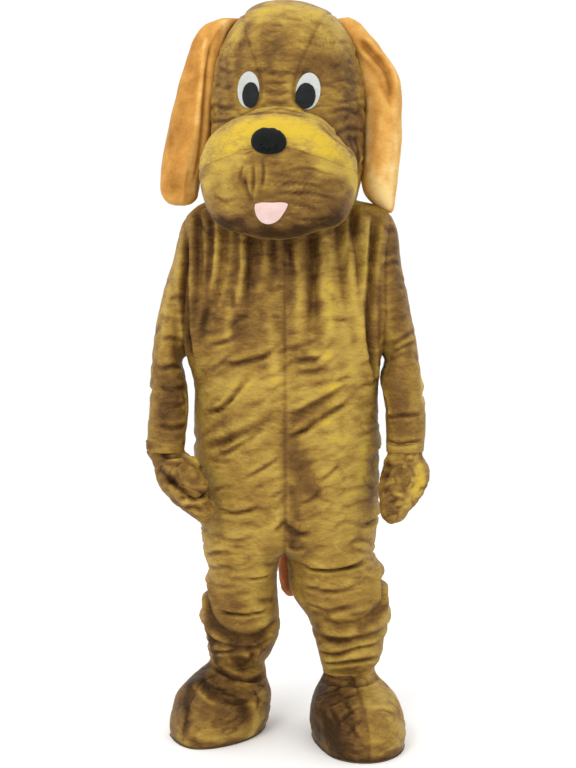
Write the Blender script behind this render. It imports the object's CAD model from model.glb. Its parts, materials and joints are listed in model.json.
# %% [markdown]
# # A dog mascot costume in Blender
# The costume is a baggy plush suit, a big hollow head, mitten gloves and booties, standing as it
# is worn. The solid model already gives every sewn piece its place and size, with plain walls.
# Here each piece gets its folds, its nap and its seams.

# %% Load the solid model
import json
import math

import bmesh
import bpy
import numpy as np
from mathutils import Matrix, Vector, noise
from mathutils.bvhtree import BVHTree
from mathutils.kdtree import KDTree


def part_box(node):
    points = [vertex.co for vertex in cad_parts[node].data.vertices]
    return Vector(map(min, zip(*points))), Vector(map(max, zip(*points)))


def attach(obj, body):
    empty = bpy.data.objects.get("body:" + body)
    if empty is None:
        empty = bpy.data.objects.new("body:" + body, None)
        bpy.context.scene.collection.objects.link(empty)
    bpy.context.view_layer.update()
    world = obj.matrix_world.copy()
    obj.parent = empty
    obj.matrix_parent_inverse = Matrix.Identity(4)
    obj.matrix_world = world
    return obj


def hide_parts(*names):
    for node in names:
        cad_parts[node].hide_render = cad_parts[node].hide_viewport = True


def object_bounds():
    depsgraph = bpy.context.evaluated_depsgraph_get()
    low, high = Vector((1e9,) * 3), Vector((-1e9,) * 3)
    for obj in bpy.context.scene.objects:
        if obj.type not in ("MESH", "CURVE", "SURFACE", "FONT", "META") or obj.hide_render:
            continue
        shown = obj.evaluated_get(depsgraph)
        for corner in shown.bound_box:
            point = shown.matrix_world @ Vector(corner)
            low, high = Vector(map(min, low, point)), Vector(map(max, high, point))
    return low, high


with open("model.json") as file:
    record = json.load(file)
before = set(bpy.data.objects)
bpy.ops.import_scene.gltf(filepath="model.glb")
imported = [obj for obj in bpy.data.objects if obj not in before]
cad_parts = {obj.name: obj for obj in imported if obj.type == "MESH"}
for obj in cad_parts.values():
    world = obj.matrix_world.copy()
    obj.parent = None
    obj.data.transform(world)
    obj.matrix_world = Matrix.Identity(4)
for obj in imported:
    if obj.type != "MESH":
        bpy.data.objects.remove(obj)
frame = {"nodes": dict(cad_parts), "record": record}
solid_low, solid_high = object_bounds()
FLOOR = round(solid_low[2], 3)        # the origin is at the shoulders, 1.262 m above the floor
SIDES = ("left", "right")             # as seen from the front: x is below 0 on the left
print("solid model", [round(high - low, 3) for low, high in zip(solid_low, solid_high)], "floor", FLOOR)

# %% [markdown]
# ## Camera, light and floor
# The camera stands in front at chest height and looks slightly down. Soft light from large lamps
# shows plush best: a small lamp would draw hard shadows in every fold.

# %% Camera
COLUMNS, ROWS = 576, 768              # the camera's frame
SENSOR = 36.0                         # millimetres, along the frame's longer side
LENS = 67.92
CAMERA_PLACE = Vector((0.0075, -3.6, -0.112))
CAMERA_TILT = math.radians(-4.6)

camera_data = bpy.data.cameras.new("camera")
camera_data.lens = LENS
camera_data.sensor_width = SENSOR
camera = bpy.data.objects.new("camera", camera_data)
camera.location = CAMERA_PLACE
camera.rotation_euler = (math.radians(90.0) + CAMERA_TILT, 0.0, 0.0)
bpy.context.collection.objects.link(camera)
bpy.context.scene.camera = camera
print("camera at", [round(value, 3) for value in CAMERA_PLACE], "lens", LENS, "mm")


# %% A line of sight through a point of the camera's frame
def sight(column, row):
    """The direction in which the camera sees a point of its frame."""
    scale = LENS / SENSOR * ROWS
    right = (column - COLUMNS / 2) / scale
    up = (ROWS / 2 - row) / scale
    return (camera.rotation_euler.to_matrix() @ Vector((right, up, -1.0))).normalized()


# %% Lamps
LAMPS = [
    # name, place, aimed at, size, power, colour
    ("key", (-1.5, -3.0, 1.9), (0.0, 0.0, -0.35), (1.6, 1.6), 58.0, (1.0, 0.97, 0.92)),
    ("fill", (2.2, -2.6, 0.4), (0.0, 0.0, -0.4), (1.8, 2.2), 12.0, (1.0, 1.0, 1.0)),
    ("top", (0.0, 0.2, 2.4), (0.0, 0.0, -0.4), (2.4, 2.4), 10.0, (1.0, 1.0, 1.0)),
    ("back", (0.6, 3.0, 1.4), (0.0, 0.0, -0.4), (2.2, 2.2), 16.0, (1.0, 1.0, 1.0)),
]
for name, place, aim, size, power, colour in LAMPS:
    data = bpy.data.lights.new(name, "AREA")
    data.shape = "RECTANGLE"
    data.size, data.size_y = size
    data.energy = power
    data.color = colour
    lamp = bpy.data.objects.new(name, data)
    lamp.location = place
    lamp.rotation_euler = (Vector(aim) - Vector(place)).to_track_quat("-Z", "Y").to_euler()
    bpy.context.collection.objects.link(lamp)
print(len(LAMPS), "lamps")

# %% Surrounding light and floor
ROOM_LIGHT = 1.03
FLOOR_REACH = 9.0

world = bpy.data.worlds.new("studio")
world.use_nodes = True
world.node_tree.nodes["Background"].inputs["Color"].default_value = (1.0, 1.0, 1.0, 1.0)
world.node_tree.nodes["Background"].inputs["Strength"].default_value = ROOM_LIGHT
bpy.context.scene.world = world
bpy.context.scene.view_settings.view_transform = "Standard"

corners = [(x * FLOOR_REACH, y * FLOOR_REACH, FLOOR) for x, y in ((-1, -1), (1, -1), (1, 1), (-1, 1))]
floor_mesh = bpy.data.meshes.new("floor")
floor_mesh.from_pydata(corners, [], [(0, 1, 2, 3)])
floor = bpy.data.objects.new("floor", floor_mesh)
bpy.context.collection.objects.link(floor)
print("floor", 2 * FLOOR_REACH, "m wide")

# %% [markdown]
# ## From thin walls to one smooth skin
# A sewn piece of the solid model is a wall 2.5 mm thick with flat facets. A fold crosses from one
# piece to the next, so the folds are made before the pieces are cut apart. The outer faces of all
# the walls are welded into one skin, and a subdivision surface rounds its facets. Each face keeps
# the number of its piece as its material, so that the skin can be cut along the seams again.

# %% Outer faces of a wall
WALL = 0.0025                         # thickness of the cloth
TINY = 1e-5                           # points nearer to each other than this are one point
BACK_TO_BACK = -0.9                   # cosine of the angle between the two faces of a wall
SAME_SIDE = 0.25                      # least cosine between neighbours on one side of a wall


def outer_side(name):
    """The outer faces of a thin wall, each as a list of corner places."""
    wall = bmesh.new()
    wall.from_mesh(frame["nodes"][name].data)
    bmesh.ops.remove_doubles(wall, verts=wall.verts, dist=TINY)
    wall.faces.index_update()             # the faces keep one order, so the skin does too
    wall.normal_update()
    tree = BVHTree.FromBMesh(wall)
    broad = {}
    for face in wall.faces:
        start = face.calc_center_median() - face.normal * TINY
        hit, normal, _, _ = tree.ray_cast(start, -face.normal, 2.2 * WALL)
        if hit is not None and normal.dot(face.normal) < BACK_TO_BACK:
            broad[face.index] = face
    sides = []
    while broad:
        side = [broad.pop(min(broad))]
        for face in side:
            for edge in face.edges:
                for other in edge.link_faces:
                    if other.index in broad and face.normal.dot(other.normal) > SAME_SIDE:
                        side.append(broad.pop(other.index))
        sides.append(side)
    outer = max(sides, key=lambda side: sum(face.calc_area() for face in side))
    faces = [[corner.co.copy() for corner in face.verts] for face in outer]
    wall.free()
    return faces


# %% Objects, modifiers and mended meshes
ROUNDINGS = 3                         # how often a skin's faces are halved while it is rounded


def link(name, mesh):
    made = bpy.data.objects.new(name, mesh)
    bpy.context.collection.objects.link(made)
    return made


def apply_modifiers(thing):
    """Replaces an object's mesh by what its modifiers make of it."""
    view = bpy.context.evaluated_depsgraph_get()
    mesh = bpy.data.meshes.new_from_object(thing.evaluated_get(view))
    thing.modifiers.clear()
    thing.data = mesh


def subdivide(thing):
    modifier = thing.modifiers.new("round", "SUBSURF")
    modifier.levels = ROUNDINGS
    modifier.render_levels = ROUNDINGS
    apply_modifiers(thing)


def face_outward(mesh):
    """Turns the faces of a closed mesh so that they all look out."""
    fix = bmesh.new()
    fix.from_mesh(mesh)
    bmesh.ops.recalc_face_normals(fix, faces=fix.faces)
    fix.to_mesh(mesh)
    fix.free()


# %% Weld the pieces and round them
WELD = 0.0009                         # more than the gap of 0.3 mm at a seam
PAIRING = {"angle_face_threshold": 1.3, "angle_shape_threshold": 3.0}   # triangles into quads


def drop_stray_faces(skin):
    """Removes bits of a wall's rim that hang on the skin by one edge."""
    hanging = {face for edge in skin.edges if len(edge.link_faces) > 2 for face in edge.link_faces
               if any(side.is_boundary for side in face.edges)}
    bmesh.ops.delete(skin, geom=list(hanging), context="FACES")
    loose = [face for face in skin.faces if all(edge.is_boundary for edge in face.edges)]
    bmesh.ops.delete(skin, geom=loose, context="FACES")


def smooth_skin(name, pieces, weld=WELD, hole=4):
    """One rounded skin over several pieces. A face's material number is its piece's number. Holes
    of up to so many sides are closed."""
    skin = bmesh.new()
    for number, piece in enumerate(pieces):
        for corners in outer_side(piece):
            face = skin.faces.new([skin.verts.new(place) for place in corners])
            face.material_index = number
    bmesh.ops.remove_doubles(skin, verts=skin.verts, dist=weld)
    drop_stray_faces(skin)
    border = [edge for edge in skin.edges if edge.is_boundary]
    bmesh.ops.holes_fill(skin, edges=border, sides=hole)
    for edge in skin.edges:
        numbers = {face.material_index for face in edge.link_faces}
        edge.seam = len(numbers) > 1
    bmesh.ops.join_triangles(skin, faces=skin.faces, cmp_seam=True, **PAIRING)
    bmesh.ops.recalc_face_normals(skin, faces=skin.faces)
    mesh = bpy.data.meshes.new(name)
    skin.to_mesh(mesh)
    skin.free()
    for piece in pieces:
        mesh.materials.append(None)
    made = link(name, mesh)
    subdivide(made)
    made.data.shade_smooth()
    check = bmesh.new()
    check.from_mesh(made.data)
    rim = sum(edge.is_boundary for edge in check.edges)
    shared = sum(len(edge.link_faces) > 2 for edge in check.edges)
    check.free()
    print(name, len(made.data.vertices), "points,", rim, "edges at rims,", shared, "with over two faces")
    return made


# %% [markdown]
# ## Folds as soft troughs
# A fold in thick plush is a soft trough between two swollen ridges, and the upper ridge often hangs
# over it. Each one is drawn as a path on the cloth. A point near the path is pushed in along the
# cloth's own normal, and a point a little further off is lifted. Every move is measured on the
# smooth skin and added up, so the order of the folds doesn't matter.
#
# The pile of plush lies down one way. Where it lies towards the light the cloth is gold, and where
# it lies away it is brown. Each point carries this as its tone, from -1 for brown to 1 for gold.

# %% Cloth that can be folded
class Cloth:
    """A mesh's points, with the move and the tone that its folds give each point."""

    def __init__(self, thing):
        self.thing = thing
        mesh = thing.data
        count = len(mesh.vertices)
        self.rest = np.empty(3 * count)
        mesh.vertices.foreach_get("co", self.rest)
        self.rest = self.rest.reshape(-1, 3)
        self.out = np.empty(3 * count)
        mesh.vertex_normals.foreach_get("vector", self.out)
        self.out = self.out.reshape(-1, 3)
        self.move = np.zeros((count, 3))
        self.tone = np.zeros(count)
        self.tree = BVHTree.FromPolygons([Vector(p) for p in self.rest],
                                         [face.vertices for face in mesh.polygons])


def bend(points, steps):
    """A smooth curve through points in a plane, as steps + 1 points."""
    points = [Vector(point) for point in points]
    spans = len(points) - 1
    curve = []
    for step in range(steps + 1):
        place = spans * step / steps
        index = min(int(place), spans - 1)
        t = place - index
        a = points[max(index - 1, 0)]
        b, c = points[index], points[index + 1]
        d = points[min(index + 2, spans)]
        curve.append(0.5 * (2 * b + (c - a) * t + (2 * a - 5 * b + 4 * c - d) * t**2
                            + (3 * b - a - 3 * c + d) * t**3))
    return curve


FAR = 2.0                             # a ray at the cloth starts this far from the middle
PATH_STEPS = 18                       # pieces of a path
LAP_STEPS = 70                        # and of a path that runs round a leg


def ray_at(point, side):
    """The start and the direction of a ray at the cloth. Seen points are in the camera's frame. The
    others are metres: x and height above the floor on the back, y and height at left and right."""
    if side == "seen":
        return CAMERA_PLACE, sight(*point)
    if side == "back":
        return Vector((point[0], FAR, point[1] + FLOOR)), Vector((0.0, -1.0, 0.0))
    turn = -1.0 if side == "left" else 1.0
    return Vector((turn * FAR, point[0], point[1] + FLOOR)), Vector((-turn, 0.0, 0.0))


def lay(cloth, points, side="seen", steps=PATH_STEPS):
    """Lays a path on the cloth. A level path always comes out running the same way round the body,
    so that its upper side is the same one."""
    path = []
    for point in bend(points, steps):
        hit = cloth.tree.ray_cast(*ray_at(point, side))[0]
        if hit is not None:
            path.append(hit)
    path = np.array(path)
    if len(path) > 1:
        run = path[-1] - path[0]
        onward = {"seen": run[0], "back": -run[0], "left": -run[1], "right": run[1]}[side]
        if onward < -abs(run[2]):
            return path[::-1]
    return path


def join(*paths):
    """One smooth path through every fourth point of several that follow each other."""
    stops = np.vstack([path[2:-1:4] for path in paths] + [paths[-1][-1:]])
    return np.array(bend(stops, LAP_STEPS))


# %% Distance to a path
def beside(points, path):
    """For each point: its nearest place on the path, the path's direction there, and how far
    along the path that is, from 0 to 1."""
    best = np.full(len(points), 1e9)
    foot = np.zeros((len(points), 3))
    along = np.zeros((len(points), 3))
    share = np.zeros(len(points))
    lengths = np.r_[0.0, np.cumsum(np.linalg.norm(np.diff(path, axis=0), axis=1))]
    for index in range(len(path) - 1):
        span = path[index + 1] - path[index]
        long = np.linalg.norm(span) + 1e-9
        t = np.clip((points - path[index]) @ span / long**2, 0.0, 1.0)
        spot = path[index] + t[:, None] * span
        far = np.linalg.norm(points - spot, axis=1)
        closer = far < best
        best[closer] = far[closer]
        foot[closer] = spot[closer]
        along[closer] = span / long
        share[closer] = (lengths[index] + t[closer] * long) / lengths[-1]
    return foot, along, share


def close_by(cloth, path, reach):
    inside = (cloth.rest > path.min(0) - reach) & (cloth.rest < path.max(0) + reach)
    return np.flatnonzero(inside.all(1))


# %% One fold
RIDGE_AWAY = 1.9                      # a ridge's distance from the trough, in widths of the trough
RIDGE_WIDE = 1.15                     # and its own width


def fold(cloth, path, depth, width, above=0.5, below=0.3, hang=0.0, tone=0.0, ends=0.3):
    """Presses a trough along a path. For a path drawn from left to right, above is the share of the
    depth that the upper side swells, and hang is how far that side is drawn over the trough. Ends is
    the share of the path over which the fold fades out, as one number or one for each end."""
    if len(path) < 3:
        return
    near = close_by(cloth, path, 4 * width)
    if not len(near):
        return
    points, out = cloth.rest[near], cloth.out[near]
    foot, along, share = beside(points, path)
    across = np.cross(along, out)
    across /= np.linalg.norm(across, axis=1)[:, None] + 1e-9
    away = points - foot
    aside = (away * across).sum(1)
    beyond = np.sqrt(np.maximum((away**2).sum(1) - aside**2, 0.0))
    first, last = ends if isinstance(ends, tuple) else (ends, ends)
    fade = np.clip(np.minimum(share / first, (1.0 - share) / last), 0.0, 1.0)
    fade = fade * fade * (3.0 - 2.0 * fade) * np.exp(-((beyond / width) ** 2))
    trough = np.exp(-((aside / width) ** 2))
    upper = np.exp(-(((aside + RIDGE_AWAY * width) / (RIDGE_WIDE * width)) ** 2))
    lower = np.exp(-(((aside - RIDGE_AWAY * width) / (RIDGE_WIDE * width)) ** 2))
    lift = depth * (above * upper + below * lower - trough) * fade
    cloth.move[near] += lift[:, None] * out
    cloth.move[near] += (hang * (upper + 0.6 * trough) * fade)[:, None] * across
    cloth.tone[near] += tone * (0.5 * upper + 0.3 * lower - trough) * fade


# %% One stroke over the pile
def stroke(cloth, path, width, tone, lift=0.0):
    """Brushes the pile along a path lighter or darker, and may swell the cloth there."""
    if len(path) < 2:
        return
    near = close_by(cloth, path, 2.5 * width)
    foot, _, _ = beside(cloth.rest[near], path)
    fall = np.exp(-((cloth.rest[near] - foot) ** 2).sum(1) / width**2)
    cloth.tone[near] += tone * fall
    cloth.move[near] += (lift * fall)[:, None] * cloth.out[near]


# %% Many small folds
def scatter(cloth, side, count, low, high, slope, length, depth, width, seed, tone):
    """Small folds at uneven places between two corners, each rising to the right by about slope
    degrees. The corners and the length are in the camera's frame, or in metres on other sides."""
    draw = np.random.default_rng(seed)
    up = -1.0 if side == "seen" else 1.0
    for _ in range(count):
        x, y = draw.uniform(low, high)
        angle = math.radians(slope + draw.normal(0.0, 9.0))
        half = 0.5 * length * draw.uniform(0.6, 1.4)
        run, rise = half * math.cos(angle), up * half * math.sin(angle)
        bow = up * half * draw.uniform(-0.25, 0.12)
        path = ((x - run, y - rise), (x, y + bow), (x + run, y + rise))
        this_depth = depth * draw.uniform(0.5, 1.3)
        this_width = width * draw.uniform(0.8, 1.3)
        fold(cloth, lay(cloth, path, side, 10), this_depth, this_width, above=0.6, below=0.3,
             hang=0.2 * depth, tone=tone * draw.uniform(0.3, 1.2), ends=0.45)


# %% Broad shape, and crumples of the whole cloth
def push(cloth, centre, reach, move, where=1.0):
    """Moves the cloth about a place, less and less over a reach along x, y and z."""
    fall = np.exp(-(((cloth.rest - centre) / reach) ** 2).sum(1)) * where
    cloth.move += fall[:, None] * np.array(move)


def swell(cloth, size, seed):
    """A smooth uneven value at each point. Size is the length of a swell along x, y and z."""
    shift = Vector((3.1 * seed, 1.7 * seed, 5.3 * seed))
    x, y, z = (1.0 / length for length in size)
    return np.array([noise.noise(Vector((point[0] * x, point[1] * y, point[2] * z)) + shift)
                     for point in cloth.rest])


def crumple(cloth, height, size, seed, tone=0.0, where=1.0):
    """Uneven swells of the whole cloth."""
    value = swell(cloth, size, seed) * where
    cloth.move += (height * value)[:, None] * cloth.out
    cloth.tone += tone * value


def crease(cloth, depth, size, seed, sharp=0.10, tone=0.0, where=1.0):
    """Thin creases that run where the swells cross nought, with the swells' own broad shape."""
    value = swell(cloth, size, seed) + 0.35 * swell(cloth, tuple(0.5 * s for s in size), seed + 7)
    line = np.exp(-((value / sharp) ** 2)) * where
    line *= np.clip(0.5 + 2.2 * swell(cloth, tuple(1.7 * s for s in size), seed + 13), 0.0, 1.0)
    cloth.move -= (depth * line)[:, None] * cloth.out
    cloth.tone -= tone * line


# %% Seams
def sink_seams(cloth, depth, width, tone=0.0):
    """Draws the cloth in along the seams between its pieces, and darkens them."""
    mesh = cloth.thing.data
    numbers = {}
    seam = set()
    for face in mesh.polygons:
        for corner in face.vertices:
            if numbers.setdefault(corner, face.material_index) != face.material_index:
                seam.add(corner)
    tree = KDTree(len(seam))
    for corner in seam:
        tree.insert(Vector(cloth.rest[corner]), corner)
    tree.balance()
    far = np.array([tree.find(Vector(point))[2] for point in cloth.rest])
    line = np.exp(-((far / width) ** 2))
    cloth.move -= (depth * line)[:, None] * cloth.out
    cloth.tone -= tone * line


# %% Move the points, and keep their tones
SHINE = 0.5                           # tone gained by a slope that a fold turns upwards
TONE_LIMIT = 1.3


def set_folds(cloth):
    """Moves the points and keeps their tones as a value of the mesh. The pile lies down the cloth,
    so a slope that a fold turns upwards shines, and one that it turns downwards is brown."""
    mesh = cloth.thing.data
    mesh.vertices.foreach_set("co", (cloth.rest + cloth.move).ravel())
    mesh.update()
    turned = np.empty(3 * len(mesh.vertices))
    mesh.vertex_normals.foreach_get("vector", turned)
    turn = turned.reshape(-1, 3) - cloth.out
    cloth.tone += SHINE * np.clip(turn[:, 2] - 0.5 * turn[:, 0], -1.0, 1.0)
    tones = mesh.attributes.new("tone", "FLOAT", "POINT")
    tones.data.foreach_set("value", np.clip(cloth.tone, -TONE_LIMIT, TONE_LIMIT))
    mesh.update()
    print(cloth.thing.name, "moved at most", round(1000 * float(np.abs(cloth.move).max()), 1), "mm")


def surface(thing):
    """A folded mesh as something that a ray can hit."""
    mesh = thing.data
    return BVHTree.FromPolygons([v.co.copy() for v in mesh.vertices],
                                [face.vertices for face in mesh.polygons])


# %% Cut the cloth along its seams
def cut_apart(thing, names, tones):
    """Cuts a skin along its seams into walls of cloth, one object for each piece. Tones says how
    much lighter or darker the pile of a whole piece lies."""
    made = {}
    for number, name in enumerate(names):
        part = bmesh.new()
        part.from_mesh(thing.data)
        others = [face for face in part.faces if face.material_index != number]
        bmesh.ops.delete(part, geom=others, context="FACES")
        value = part.verts.layers.float["tone"]
        for point in part.verts:
            point[value] += tones.get(name, 0.0)
        for face in part.faces:
            face.material_index = 0
            face.smooth = True
        mesh = bpy.data.meshes.new(name)
        part.to_mesh(mesh)
        part.free()
        piece = link("cloth_" + name, mesh)
        shell = piece.modifiers.new("wall", "SOLIDIFY")
        shell.thickness = WALL
        shell.offset = -1.0               # inward, so that the skin stays the outer face
        apply_modifiers(piece)
        piece.data.materials.clear()
        piece.data.set_sharp_from_angle(angle=math.radians(60.0))
        made[name] = piece
    bpy.data.objects.remove(thing)
    return made


# %% [markdown]
# ## The suit
# Four panels run from neck to ankle, and each sleeve is one piece. The neck edge is gathered, so
# long vertical folds hang under the head. The body is far wider than its wearer and pulls in slanting
# folds towards the hips, and the legs are too long, so they pile up in deep curved folds on the feet.
# Cloth simulation would make folds too, but not in these places, so they are laid by hand.

# %% Skin of the suit
SUIT = ["suit_front_left", "suit_front_right", "suit_back_left", "suit_back_right",
        "sleeve_left", "sleeve_right"]
suit = Cloth(smooth_skin("suit", SUIT))

# %% Set of the shoulders, sleeves and crotch
BODY_HALF = 0.235                     # half width of the body, beyond which a point is on a sleeve
arms = np.clip((np.abs(suit.rest[:, 0]) - BODY_HALF) / 0.02, 0.0, 1.0)
SUIT_SET = [
    # centre, reach along x, y and z, move, on the sleeves only
    ((0.0, 0.0, 0.06), (0.15, 0.15, 0.03), (0.0, 0.0, 0.030), False),
    ((-0.130, 0.0, 0.03), (0.06, 0.07, 0.05), (0.0, 0.0, 0.016), False),
    ((0.130, 0.0, 0.03), (0.06, 0.07, 0.05), (0.0, 0.0, 0.016), False),
    ((-0.205, -0.01, 0.0), (0.065, 0.075, 0.05), (0.0, 0.0, 0.029), False),
    ((0.215, -0.01, 0.0), (0.065, 0.075, 0.05), (0.004, 0.0, 0.030), False),
    ((0.260, 0.0, -0.03), (0.05, 0.10, 0.05), (0.010, 0.0, 0.008), False),
    ((-0.270, 0.0, -0.09), (0.05, 0.2, 0.06), (0.009, 0.0, 0.0), False),
    ((-0.290, 0.0, -0.45), (0.12, 0.3, 0.10), (0.015, 0.0, 0.0), True),
    ((0.255, 0.0, -0.38), (0.05, 0.3, 0.06), (-0.020, 0.0, 0.0), True),
    ((0.0, 0.0, -0.87), (0.030, 0.3, 0.03), (0.0, 0.0, 0.030), False),
]
for centre, reach, move, sleeves_only in SUIT_SET:
    push(suit, centre, reach, move, arms if sleeves_only else 1.0)
print("set of the suit:", len(SUIT_SET), "pushes")

# %% Gathers under the neck, front
GATHERS = [
    # path from the neck down, depth, width
    (((198, 214), (199, 262), (198, 300), (192, 340)), 0.008, 0.009),
    (((225, 216), (223, 262), (216, 296), (201, 334)), 0.010, 0.009),
    (((251, 216), (250, 262), (250, 300), (244, 340)), 0.013, 0.011),
    (((272, 216), (272, 262), (273, 310)), 0.007, 0.008),
    (((312, 214), (313, 262), (313, 310), (309, 366)), 0.020, 0.012),
    (((337, 216), (341, 255), (346, 296), (352, 345)), 0.008, 0.009),
    (((352, 212), (356, 245), (361, 285), (366, 335)), 0.012, 0.009),
    (((287, 216), (290, 262), (290, 304)), 0.007, 0.007),
    (((212, 220), (211, 262), (206, 300)), 0.006, 0.007),
    (((238, 220), (238, 262), (234, 300)), 0.004, 0.006),
]
GATHERED = {"above": 0.6, "below": 0.6, "tone": 0.6, "ends": (0.05, 0.55)}
for path, depth, width in GATHERS:
    fold(suit, lay(suit, path), depth, width, **GATHERED)
print(len(GATHERS), "gathers in front")

# %% Gathers under the neck, back
BACK_GATHERS = [
    # x, how far it runs down, depth
    (-0.170, 0.26, 0.010), (-0.125, 0.18, 0.012), (-0.070, 0.33, 0.014), (-0.022, 0.22, 0.008),
    (0.028, 0.30, 0.012), (0.082, 0.20, 0.015), (0.130, 0.34, 0.010), (0.178, 0.18, 0.010),
]
for x, drop, depth in BACK_GATHERS:
    path = ((x * 0.8, 1.31), (x * 0.95, 1.24), (x, 1.17), (x * 1.03, 1.24 - drop))
    fold(suit, lay(suit, path, "back"), depth, 0.011, **GATHERED)
print(len(BACK_GATHERS), "gathers behind")

# %% Armholes, where the body sags over the sleeve's seam
ARMHOLES = [
    # path down the seam, depth, width
    (((187, 216), (184, 262), (186, 318), (190, 346), (194, 368)), 0.016, 0.009),
    (((374, 214), (371, 262), (369, 318), (371, 350), (377, 392)), 0.020, 0.009),
]
for path, depth, width in ARMHOLES:
    fold(suit, lay(suit, path), depth, width, above=0.35, below=0.4, tone=0.7, ends=0.15)
for x in (-0.228, 0.228):
    path = ((x, 1.27), (x * 1.02, 1.18), (x * 1.01, 1.08), (x * 0.99, 0.96))
    fold(suit, lay(suit, path, "back"), 0.016, 0.010, above=0.4, below=0.4, tone=0.7, ends=0.2)
print(len(ARMHOLES) + 2, "armhole folds")

# %% Slanting folds of the belly and hips
BELLY = [
    # path, depth, width, hang
    (((222, 367), (248, 362), (276, 352)), 0.007, 0.008, 0.003),
    (((287, 352), (303, 345), (322, 338)), 0.006, 0.006, 0.002),
    (((291, 363), (306, 360), (324, 359)), 0.007, 0.007, 0.002),
    (((292, 373), (312, 372), (332, 368)), 0.006, 0.007, 0.002),
    (((199, 414), (222, 407), (236, 392), (256, 370)), 0.009, 0.007, 0.003),
    (((203, 448), (228, 440), (250, 430), (283, 412)), 0.013, 0.010, 0.004),
    (((205, 458), (228, 452), (248, 440), (270, 424)), 0.008, 0.007, 0.002),
    (((284, 420), (303, 410), (326, 398), (352, 384)), 0.012, 0.009, 0.004),
    (((286, 441), (304, 430), (330, 413), (357, 398)), 0.013, 0.008, 0.004),
    (((352, 392), (366, 384), (380, 380)), 0.004, 0.006, 0.001),
    (((207, 461), (220, 461), (233, 462)), 0.008, 0.006, 0.002),
    (((240, 481), (262, 468), (283, 456)), 0.007, 0.005, 0.002),
    (((214, 506), (232, 512), (248, 510), (266, 504)), 0.010, 0.006, 0.005),
    (((270, 498), (277, 494), (284, 492)), 0.005, 0.005, 0.001),
    (((318, 482), (330, 474), (343, 462)), 0.006, 0.006, 0.002),
    (((296, 505), (310, 500), (322, 492)), 0.004, 0.005, 0.001),
    (((300, 388), (330, 382), (362, 374)), 0.004, 0.006, 0.001),
    (((225, 330), (236, 322), (252, 312)), 0.005, 0.007, 0.001),
    (((206, 345), (222, 342), (240, 336)), 0.004, 0.006, 0.001),
    (((320, 322), (336, 318), (354, 322)), 0.004, 0.006, 0.001),
    (((210, 492), (224, 487), (240, 489)), 0.005, 0.005, 0.001),
    (((332, 528), (348, 522), (366, 526)), 0.005, 0.006, 0.002),
    (((216, 536), (236, 541), (258, 536)), 0.005, 0.006, 0.002),
    (((345, 548), (360, 540), (372, 542)), 0.006, 0.006, 0.002),
    (((206, 556), (220, 552), (236, 556)), 0.006, 0.006, 0.002),
]
for path, depth, width, hang in BELLY:
    fold(suit, lay(suit, path), 0.85 * depth, width, above=0.6, below=0.25, hang=hang, tone=0.65)
print(len(BELLY), "folds on belly and hips")

# %% The same on the back
BACK = [
    # path from the side towards the middle, in metres, depth, width
    (((-0.20, 0.93), (-0.13, 0.915), (-0.05, 0.885), (0.02, 0.85)), 0.011, 0.010),
    (((0.21, 0.90), (0.15, 0.885), (0.07, 0.85), (0.0, 0.81)), 0.010, 0.009),
    (((-0.21, 0.83), (-0.14, 0.80), (-0.06, 0.79)), 0.010, 0.008),
    (((0.20, 0.79), (0.13, 0.765), (0.05, 0.755)), 0.011, 0.009),
    (((-0.19, 0.73), (-0.11, 0.70), (-0.03, 0.70)), 0.008, 0.008),
    (((0.20, 0.70), (0.12, 0.675), (0.06, 0.68)), 0.009, 0.008),
    (((-0.20, 0.60), (-0.14, 0.575), (-0.06, 0.585)), 0.013, 0.009),
    (((0.22, 0.60), (0.16, 0.57), (0.07, 0.58)), 0.013, 0.009),
    (((-0.10, 1.02), (-0.03, 1.00), (0.05, 1.01)), 0.006, 0.008),
    (((0.04, 0.97), (0.12, 0.955), (0.19, 0.965)), 0.008, 0.008),
]
for path, depth, width in BACK:
    fold(suit, lay(suit, path, "back"), depth, width, above=0.6, below=0.3, hang=0.003, tone=0.9)
print(len(BACK), "folds on the back")

# %% Crotch
CROTCH = [
    # path, depth, width
    (((285, 520), (290, 530), (301, 535), (314, 533)), 0.010, 0.007),
    (((287, 545), (296, 550), (306, 547)), 0.007, 0.006),
    (((273, 532), (281, 526), (286, 518)), 0.008, 0.006),
]
for path, depth, width in CROTCH:
    fold(suit, lay(suit, path), depth, width, tone=0.9)
print(len(CROTCH), "folds at the crotch")

# %% Legs, piled up on the feet
LEGS = [
    # path, depth, width, hang
    (((301, 566), (318, 568), (338, 568), (366, 561)), 0.016, 0.007, 0.008),
    (((303, 586), (330, 592), (358, 588)), 0.005, 0.006, 0.002),
    (((306, 604), (330, 610), (356, 604)), 0.005, 0.006, 0.002),
    (((384, 642), (356, 648), (336, 654), (318, 652)), 0.009, 0.006, 0.004),
    (((380, 657), (352, 661), (322, 664)), 0.010, 0.006, 0.004),
    (((247, 580), (258, 578), (272, 577)), 0.009, 0.005, 0.004),
    (((219, 611), (236, 614), (250, 614), (268, 609)), 0.009, 0.005, 0.004),
    (((209, 652), (226, 652), (242, 650)), 0.008, 0.006, 0.003),
    (((248, 644), (253, 654), (250, 664)), 0.012, 0.008, 0.002),
    (((213, 664), (232, 671), (256, 668)), 0.008, 0.006, 0.004),
    (((208, 566), (218, 568), (230, 566)), 0.004, 0.006, 0.001),
]
for path, depth, width, hang in LEGS:
    fold(suit, lay(suit, path), 0.9 * depth, width, above=0.75, below=0.35, hang=hang, tone=0.6,
         ends=0.22)
print(len(LEGS), "folds on the legs, in front")

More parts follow.
